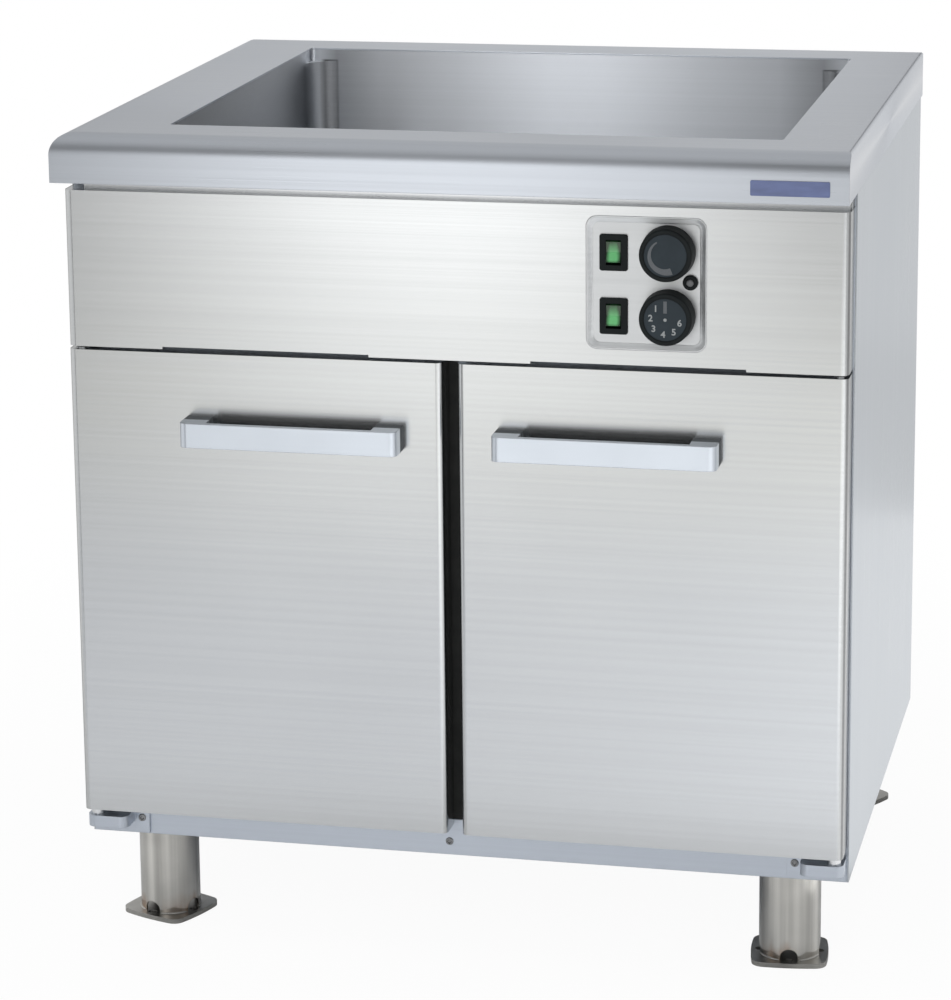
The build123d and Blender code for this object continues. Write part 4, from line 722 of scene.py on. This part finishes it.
class BAINMARIE_OT_cabinet(bpy.types.Operator):
    """Finishes the cabinet's panels, the fascia and the frame, with the screws that hold them"""

    bl_idname = "bainmarie.cabinet"
    bl_label = "Cabinet"

    def execute(self, context):
        metal, plastic, fixing = shared_settings(context)
        dress(front_steel("fascia_brushed", metal.front, 0.21, "fascia"), "fascia")
        dress(brushed_steel("sides_brushed", metal.sides, grain="Z"), "side_panel_left", "side_panel_right")
        dress(brushed_steel("back_brushed", metal.sides), "back_panel")
        dress(brushed_steel("base_brushed", metal.frame), "bottom_panel")
        # Painted light: the frame's ears above the controls, which lie in shade under the worktop, are made lighter,
        # rougher and not metal
        painted_light_ears = (above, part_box("control_panel")[1].z)
        dress(brushed_steel("frame_brushed", metal.frame, roughness=0.38, painted_light=painted_light_ears, painted_light_tone=1.2, painted_light_rough=0.3,
                            painted_light_metal=False), "front_frame", "hinge_brackets", "centre_stop")
        dress(soft_rubber("gap_rubber", plastic.rubber), "mullion_seal")
        dress(turned_metal("hinge_turned", metal.plated, 0.22), "hinge_pins")
        dress(moulded("gland_moulded", plastic.grey, 0.45), "cable_gland")
        self.screws(fixing, turned_metal("screw_plated", toned(metal.plated, 0.40), 0.32, 0.15))
        return {"FINISHED"}

    def screws(self, fixing, finish):
        """Pan heads on the hinge plates, the bottom rail and round the edge of the back panel."""
        head = screw_head(fixing.screw_radius, fixing.screw_height)
        plate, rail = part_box("hinge_brackets")[0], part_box("front_frame")[0]
        plate_screw_x, plate_screw_z, plate_thickness = abs(plate.x) - 0.052, plate.z + 0.0165, 0.003
        rail_screw_x, rail_screw_z = -0.0136, rail.z + 0.0145
        low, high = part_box("back_panel")
        inset, count = 0.010, 5
        across = np.linspace(low.x + inset, high.x - inset, count)
        upward = np.linspace(low.z + inset, high.z - inset, count)
        edge = [(x, z) for x in across for z in (upward[0], upward[-1])]
        edge += [(x, z) for x in (across[0], across[-1]) for z in upward[1:-1]]
        places = {
            "hinge_screws": [((side * plate_screw_x, rail.y - plate_thickness, plate_screw_z), RIGHT, UP, -BACK)
                             for side in (-1, 1)],
            "rail_screw": [((rail_screw_x, rail.y, rail_screw_z), RIGHT, UP, -BACK)],
            "back_screws": [((x, high.y, z), -RIGHT, UP, BACK) for x, z in edge],
        }
        for name, frames in places.items():
            make_piece(name, repeated(*head, frames), finish, "cabinet")


class BAINMARIE_OT_doors(bpy.types.Operator):
    """Finishes both doors and their handles, and gives them moulded seals"""

    bl_idname = "bainmarie.doors"
    bl_label = "Doors"

    def execute(self, context):
        metal, plastic, fixing = shared_settings(context)
        low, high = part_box("handle_right")
        # The span between the posts, where the painted shadow behind the bar lies
        shadow_span = (low.x + fixing.handle_post, high.x - fixing.handle_post)
        rubber = soft_rubber("seal_rubber", plastic.rubber)
        finishes = {
            "door_skin": front_steel("door_brushed", metal.front, 0.20, "door_skin_right"),
            "door_liner": brushed_steel("door_lining", metal.lining, roughness=0.30),
            "handle": satin_handle("handle_satin", metal.handles, plastic.black, shadow_span, low.y + fixing.handle_bar,
                                   high.y - fixing.handle_base),
            "hinge_bushes": moulded("bush_moulded", plastic.pale, 0.5),
            "door_core": wool_batt("door_wool", plastic.wool),
            "door_gasket": rubber,
        }
        for side in ("left", "right"):
            for node, finish in finishes.items():
                dress(finish, f"{node}_{side}")
            shape = seal_frame(*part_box(f"door_gasket_{side}"), fixing.seal_width)
            seal = make_piece(f"door_seal_{side}", shape, rubber, f"{side}_door")
            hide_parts(f"door_gasket_{side}")
        return {"FINISHED"}


class BAINMARIE_OT_controls(bpy.types.Operator):
    """Finishes the recessed panel, switches, knobs, reset and the bare plate"""

    bl_idname = "bainmarie.controls"
    bl_label = "Controls"

    def execute(self, context):
        metal, plastic, fixing = shared_settings(context)
        face_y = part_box("control_panel")[0].y
        # Painted light: the recess's sloped walls, which fall into shade, are made lighter and rougher
        painted_light_slope = (pressed_edge, face_y, face_y + fixing.recess_depth)
        dress(brushed_steel("panel_brushed", metal.front, roughness=0.36, painted_light=painted_light_slope, painted_light_tone=1.45, painted_light_rough=0.3),
              "control_panel")
        bezel, face_share = toned(plastic.black, 0.6), 0.80
        dress(moulded("switch_moulded", bezel, 0.40, 0.08), "switch_housing_upper", "switch_housing_lower")
        dress(moulded("device_moulded", plastic.pale, 0.5), "thermostat_upper", "thermostat_lower")
        dress(turned_metal("spindle_turned", metal.plated, 0.25), "spindle_upper", "spindle_lower")
        for row in ("upper", "lower"):
            low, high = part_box(f"knob_{row}")
            face_radius = (high.x - low.x) / 2 * face_share
            dress(dial_plastic(f"knob_moulded_{row}", plastic.black, plastic.dial, (low + high) / 2, face_radius),
                  f"knob_{row}")
            low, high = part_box(f"rocker_{row}")
            dress(green_lens(f"rocker_green_{row}", plastic.green, plastic.glow, (low + high) / 2, (high - low) / 2),
                  f"rocker_{row}")
        dress(moulded("cap_moulded", bezel, 0.40, 0.08), "limit_thermostat")
        dress(moulded("reset_moulded", plastic.grey, 0.4), "reset_button")
        dress(enamel("plate_enamel", plastic.blue), "badge_plate")
        return {"FINISHED"}


class BAINMARIE_OT_dials(bpy.types.Operator):
    """Prints the marks on both knobs"""

    bl_idname = "bainmarie.dials"
    bl_label = "Dial print"

    def execute(self, context):
        _, plastic, fixing = shared_settings(context)
        ink, faint = printed("dial_ink", plastic.ink), printed("dial_ink_faint", plastic.faint_ink)
        thick, face_depth, figure_ring, dot_radius = fixing.ink_height, 0.0008, 0.0145, 0.0016
        wedge_inner, wedge_outer, wedge_ends = (0.0148, 0.0128), (0.0162, 0.0196), np.radians((122, 292))
        pointer_low, pointer_high, figure_ends = (-0.0017, 0.0065), (0.0017, 0.0185), np.radians((130, 350))
        wedge = ring_print(wedge_inner, wedge_outer, *wedge_ends, thick)
        pointer = bar_print(pointer_low, pointer_high, thick)
        dot = ring_print((0.0, 0.0), (dot_radius, dot_radius), 0.0, 2 * math.pi, thick, 25)
        figures = []
        for number, angle in enumerate(np.linspace(*figure_ends, fixing.figures), 1):
            points, faces = figure_print(str(number), fixing.figure_height, thick)
            figures.append((points + figure_ring * np.array([math.cos(angle), math.sin(angle), 0.0]), faces))
        for name, shapes, finish in (("dial_wedge_upper", [wedge], faint), ("dial_pointer_lower", [pointer], faint),
                                     ("dial_dot_lower", [dot], ink), ("dial_figures_lower", figures, ink)):
            row = name.rpartition("_")[2]
            low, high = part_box(f"knob_{row}")
            place = [(((low.x + high.x) / 2, low.y + face_depth, (low.z + high.z) / 2), RIGHT, UP, -BACK)]
            make_piece(name, repeated(*joined(*shapes), place), finish, f"{row}_knob")
        return {"FINISHED"}


class BAINMARIE_OT_legs(bpy.types.Operator):
    """Finishes the legs and floor flanges, and welds them"""

    bl_idname = "bainmarie.legs"
    bl_label = "Legs"

    def execute(self, context):
        metal, _, fixing = shared_settings(context)
        foot_z, tint_low, tint_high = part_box("leg_front_left")[0].z, 0.004, 0.020
        tube = drawn_tube("leg_polished", metal.legs, foot_z + tint_low, foot_z + tint_high)
        # Painted shade: the flanges get a darker copy of the legs' steel, with real stains over it
        flange = turned_metal("flange_painted_shade", toned(metal.legs, 0.62), 0.34, 0.35)
        bead = turned_metal("weld_bead", toned(metal.legs, 0.8), 0.34, 0.2)
        turns = {"front_left": -22.0, "front_right": 6.0, "back_left": 14.0, "back_right": -33.0}
        foot_ripples, head_ripples, end_gap = 14, 70, 0.04
        for place, turn in turns.items():
            dress(tube, f"leg_{place}")
            dress(flange, f"foot_flange_{place}")
            low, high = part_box(f"leg_{place}")
            middle = (low + high) / 2
            radius = (high.x - low.x) / 2
            clear = math.asin(fixing.notch_width / 2 / radius) + end_gap
            quarters = [math.radians(turn) + quarter * math.pi / 2 for quarter in range(4)]
            foot = [weld_bead((middle.x, middle.y, low.z), radius, fixing.weld_radius, start + clear,
                              start + math.pi / 2 - clear, foot_ripples) for start in quarters]
            head = weld_bead((middle.x, middle.y, high.z), radius, fixing.weld_radius, 0.0, 2 * math.pi, head_ripples)
            make_piece(f"leg_welds_{place}", joined(*foot, head), bead, "cabinet", sharp=80.0)
        return {"FINISHED"}


class BAINMARIE_OT_inside(bpy.types.Operator):
    """Finishes the cupboard's lining, the shelf, the heaters and the wool"""

    bl_idname = "bainmarie.inside"
    bl_label = "Inside"

    def execute(self, context):
        metal, plastic, _ = shared_settings(context)
        dress(brushed_steel("lining_bright", metal.lining, tank=True, roughness=0.28), "cabinet_liner")
        dress(brushed_steel("shelf_brushed", metal.lining), "shelf", "shelf_rails")
        dress(brushed_steel("tray_plain", toned(metal.frame, 0.85), roughness=0.42), "insulation_tray")
        dress(stained_sheath("heater_sheath", metal.element), "well_heater", "cabinet_heater")
        dress(wool_batt("wall_wool", plastic.wool), "insulation")
        dress(moulded("terminal_moulded", plastic.pale, 0.5), "terminal_block")
        return {"FINISHED"}


class BAINMARIE_OT_stage(bpy.types.Operator):
    """Sets up the pale floor, the soft lamps, the cards that the steel mirrors, and the camera"""

    bl_idname = "bainmarie.stage"
    bl_label = "Stage"

    def execute(self, context):
        stage = context.scene.bain_marie_stage
        context.scene.view_settings.view_transform = "Standard"
        self.world(context.scene, stage)
        self.floor(stage)
        self.lamp("key_lamp", (-1.00, -3.00, 2.30), (60.0, 0.0, -18.0), 1.6, stage.key)
        self.lamp("top_lamp", (0.0, -0.3, 3.2), (0.0, 0.0, 0.0), 2.6, stage.top)
        self.cards(stage)
        self.camera(context.scene, stage)
        return {"FINISHED"}

    def cards(self, stage):
        """The room that the steel mirrors: a window in front, a ceiling, walls, floors and a softbox over the well."""
        room, shade, overhead, behind = stage.room, stage.shade, stage.overhead, stage.backdrop
        slant = UP * 0.56 + BACK * 0.70
        front_floor = stage.front_floor + np.array((-0.95, -0.62, 0.0))
        for row in (
                ("window_card", (-0.71, -3.35, 0.92), RIGHT * 0.85, UP * 0.92, (room, stage.window, room)),
                ("window_head_card", (-0.71, -2.70, 2.40), RIGHT * 0.85, slant, (shade, stage.window_head, shade)),
                ("room_card", (0.0, -3.60, 0.92), RIGHT * 4.0, UP * 0.92, room),
                ("shade_card", (0.0, -2.75, 2.40), RIGHT * 4.0, slant, shade),
                ("ceiling_card", (-0.40, 0.30, 2.95), RIGHT * 2.6, BACK * 2.35,
                 (overhead * 0.5, overhead, overhead * 0.5)),
                ("back_card", (-0.5, 2.60, 1.35), RIGHT * 3.0, UP * 1.60, (behind * 0.4, behind, behind * 1.3)),
                ("alcove_card", (0.50, 2.56, 1.93), RIGHT * 0.42, UP * 1.02, (behind, stage.alcove, behind)),
                ("left_card", (-1.33, -2.50, 1.0), RIGHT * -0.53 + BACK * -1.5, UP, stage.left_wall),
                ("right_card", (2.60, 0.0, 1.2), BACK * 2.0 + RIGHT * 0.001, UP * 1.2, stage.right_wall),
                ("corner_floor_card", (1.75, -2.30, 0.005), RIGHT * 1.20, BACK * 1.10, stage.corner_floor),
                ("right_floor_card", (1.55, -0.30, 0.004), RIGHT * 1.00, BACK * 1.80, stage.right_floor),
                ("side_floor_card", (0.485, 0.75, 0.004), RIGHT * 0.065, BACK * 0.75, stage.right_floor),
                ("back_floor_card", (1.10, 2.05, 0.004), RIGHT * 0.80, BACK * 0.55, stage.back_floor),
                ("front_floor_card", (-0.35, -2.00, 0.004), RIGHT * 1.30, BACK * 1.30, front_floor, stage.cool),
                ("far_floor_card", (-0.35, -2.70, 0.006), RIGHT * 1.30, BACK * 0.60, front_floor * stage.far_floor,
                 stage.warm)):
            self.card(*row)
        self.card("softbox_card", (-0.12, -0.20, 1.22), RIGHT * 0.40, UP * 0.27,
                  (stage.softbox * 0.05, stage.softbox, stage.softbox * 0.25), backwards=True)

    def background_shares(self, tree):
        """Two values: one for rays from the camera or through glass, and one for rays from gloss."""
        path = tree.add("LightPath").outputs
        return tree.either(path["Is Camera Ray"], path["Is Transmission Ray"]), path["Is Glossy Ray"]

    def world(self, scene, stage):
        """White where it is seen or mirrored, and an even pale light elsewhere."""
        scene.world = bpy.data.worlds.new("studio")
        scene.world.use_nodes = True
        tree = Tree(scene.world.node_tree)
        plain = tree.nodes["Background"]
        plain.inputs["Color"].default_value = WHITE
        plain.inputs["Strength"].default_value = stage.daylight
        white = tree.add("Background", {"Color": WHITE})
        amount = tree.either(*self.background_shares(tree))
        tree.surface("World Output", tree.mixed(amount, plain.outputs[0], white.outputs[0]))

    def floor(self, stage):
        """A pale sheet that keeps the shadow near the object and runs out into the white background."""
        tree = Finish("floor_pale", Base_Color=(stage.floor_tone,) * 3 + (1.0,), Roughness=0.9,
                      Specular_IOR_Level=0.1)
        seen_fade, gloss_fade, drop, reach = (0.6, 1.6), (0.7, 1.8), -0.0004, 12.0
        far = tree.add("VectorMath", {0: tree.place}, operation="LENGTH").outputs["Value"]
        seen, gloss = self.background_shares(tree)
        amount = tree.either(tree.product(seen, tree.span(far, stage.floor_white, 1.0, *seen_fade, "SMOOTHSTEP")),
                             tree.product(gloss, tree.span(far, 0.0, 1.0, *gloss_fade, "SMOOTHSTEP")))
        white = tree.add("Emission")
        tree.surface("Material Output", tree.mixed(amount, tree.shader.outputs[0], white.outputs[0]))
        self.sheet("floor", UP * drop, RIGHT * reach, BACK * reach, tree.material)

    def sheet(self, name, centre, half_across, half_up, material):
        """A flat stage piece: its centre plus a times half across and b times half up, a and b from -1 to 1."""
        steps = np.linspace(-1, 1, 5)
        a, b = np.meshgrid(steps, steps, indexing="ij")
        points = np.array(centre) + a[..., None] * half_across + b[..., None] * half_up
        mesh = bpy.data.meshes.new(name)
        mesh.from_pydata(points.reshape(-1, 3).tolist(), [], grid_faces(5, 5)[:, ::-1].tolist())
        mesh.materials.append(material)
        sheet = add_object(name, mesh)
        return sheet

    def card(self, name, centre, half_across, half_up, levels, colour=WHITE[:3], backwards=False):
        """A card that only reflections see, at one level or changing softly from a left to a middle to a right level
        along X. A backwards one shines to the back only, as a softbox does, and lets rays through from the front."""
        tree = Finish(name)
        tree.nodes.remove(tree.shader)
        left, middle, right = (float(part) for part in np.broadcast_to(levels, 3))
        reach, across = abs(half_across[0]), tree.axis(0)
        strength = tree.total(tree.span(across, left, middle, centre[0] - reach, centre[0], "SMOOTHSTEP"),
                              tree.span(across, 0.0, right - middle, centre[0], centre[0] + reach, "SMOOTHSTEP"))
        light = tree.add("Emission", {"Color": (*colour, 1.0), "Strength": strength}).outputs[0]
        if backwards:
            light = tree.mixed(tree.add("NewGeometry").outputs["Backfacing"],
                               tree.add("BsdfTransparent").outputs[0], light)
        tree.surface("Material Output", light)
        card = self.sheet(name, centre, half_across, half_up, tree.material)
        card.visible_camera = card.visible_diffuse = card.visible_shadow = card.visible_transmission = False

    def lamp(self, name, place, turn, size, power):
        """A soft square lamp, without a reflection of its own in the steel."""
        light = bpy.data.lights.new(name, "AREA")
        light.shape = "SQUARE"
        light.size = size
        light.energy = power
        lamp = add_object(name, light)
        lamp.location = place
        lamp.rotation_euler = [math.radians(part) for part in turn]
        lamp.visible_glossy = False

    def camera(self, scene, stage):
        """The camera at the photograph's place."""
        data = bpy.data.cameras.new("camera")
        data.lens = stage.lens
        data.shift_x = stage.shift_right
        data.shift_y = stage.shift_up
        data.clip_end = 50.0
        camera = add_object("camera", data)
        camera.location = stage.camera_place
        camera.rotation_euler = stage.camera_turn
        scene.camera = camera


class BAINMARIE_PT_panel(bpy.types.Panel):
    """Lists the settings and the operators"""

    bl_idname = "BAINMARIE_PT_panel"
    bl_label = "Bain-marie"
    bl_space_type = "VIEW_3D"
    bl_region_type = "UI"
    bl_category = "Bain-marie"

    def draw(self, context):
        for group in SETTINGS:
            box = self.layout.box()
            settings = getattr(context.scene, group)
            for name in settings.bl_rna.properties.keys():
                if name not in ("rna_type", "name"):
                    box.prop(settings, name)
        for operator in OPERATORS:
            self.layout.operator(operator.bl_idname)


SETTINGS = {
    "bain_marie_metal": MetalSettings,
    "bain_marie_plastic": PlasticSettings,
    "bain_marie_fixing": FixingSettings,
    "bain_marie_stage": StageSettings,
}
OPERATORS = (
    BAINMARIE_OT_worktop,
    BAINMARIE_OT_cabinet,
    BAINMARIE_OT_doors,
    BAINMARIE_OT_controls,
    BAINMARIE_OT_dials,
    BAINMARIE_OT_legs,
    BAINMARIE_OT_inside,
    BAINMARIE_OT_stage,
)
CLASSES = (*SETTINGS.values(), *OPERATORS, BAINMARIE_PT_panel)


def register():
    for part in CLASSES:
        bpy.utils.register_class(part)
    for name, group in SETTINGS.items():
        setattr(bpy.types.Scene, name, PointerProperty(type=group))


def unregister():
    for name in SETTINGS:
        delattr(bpy.types.Scene, name)
    for part in reversed(CLASSES):
        bpy.utils.unregister_class(part)


def main():
    """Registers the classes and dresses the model."""
    register()
    for operator in OPERATORS:
        getattr(bpy.ops.bainmarie, operator.bl_idname.partition(".")[2])()


if __name__ == "__main__":
    main()
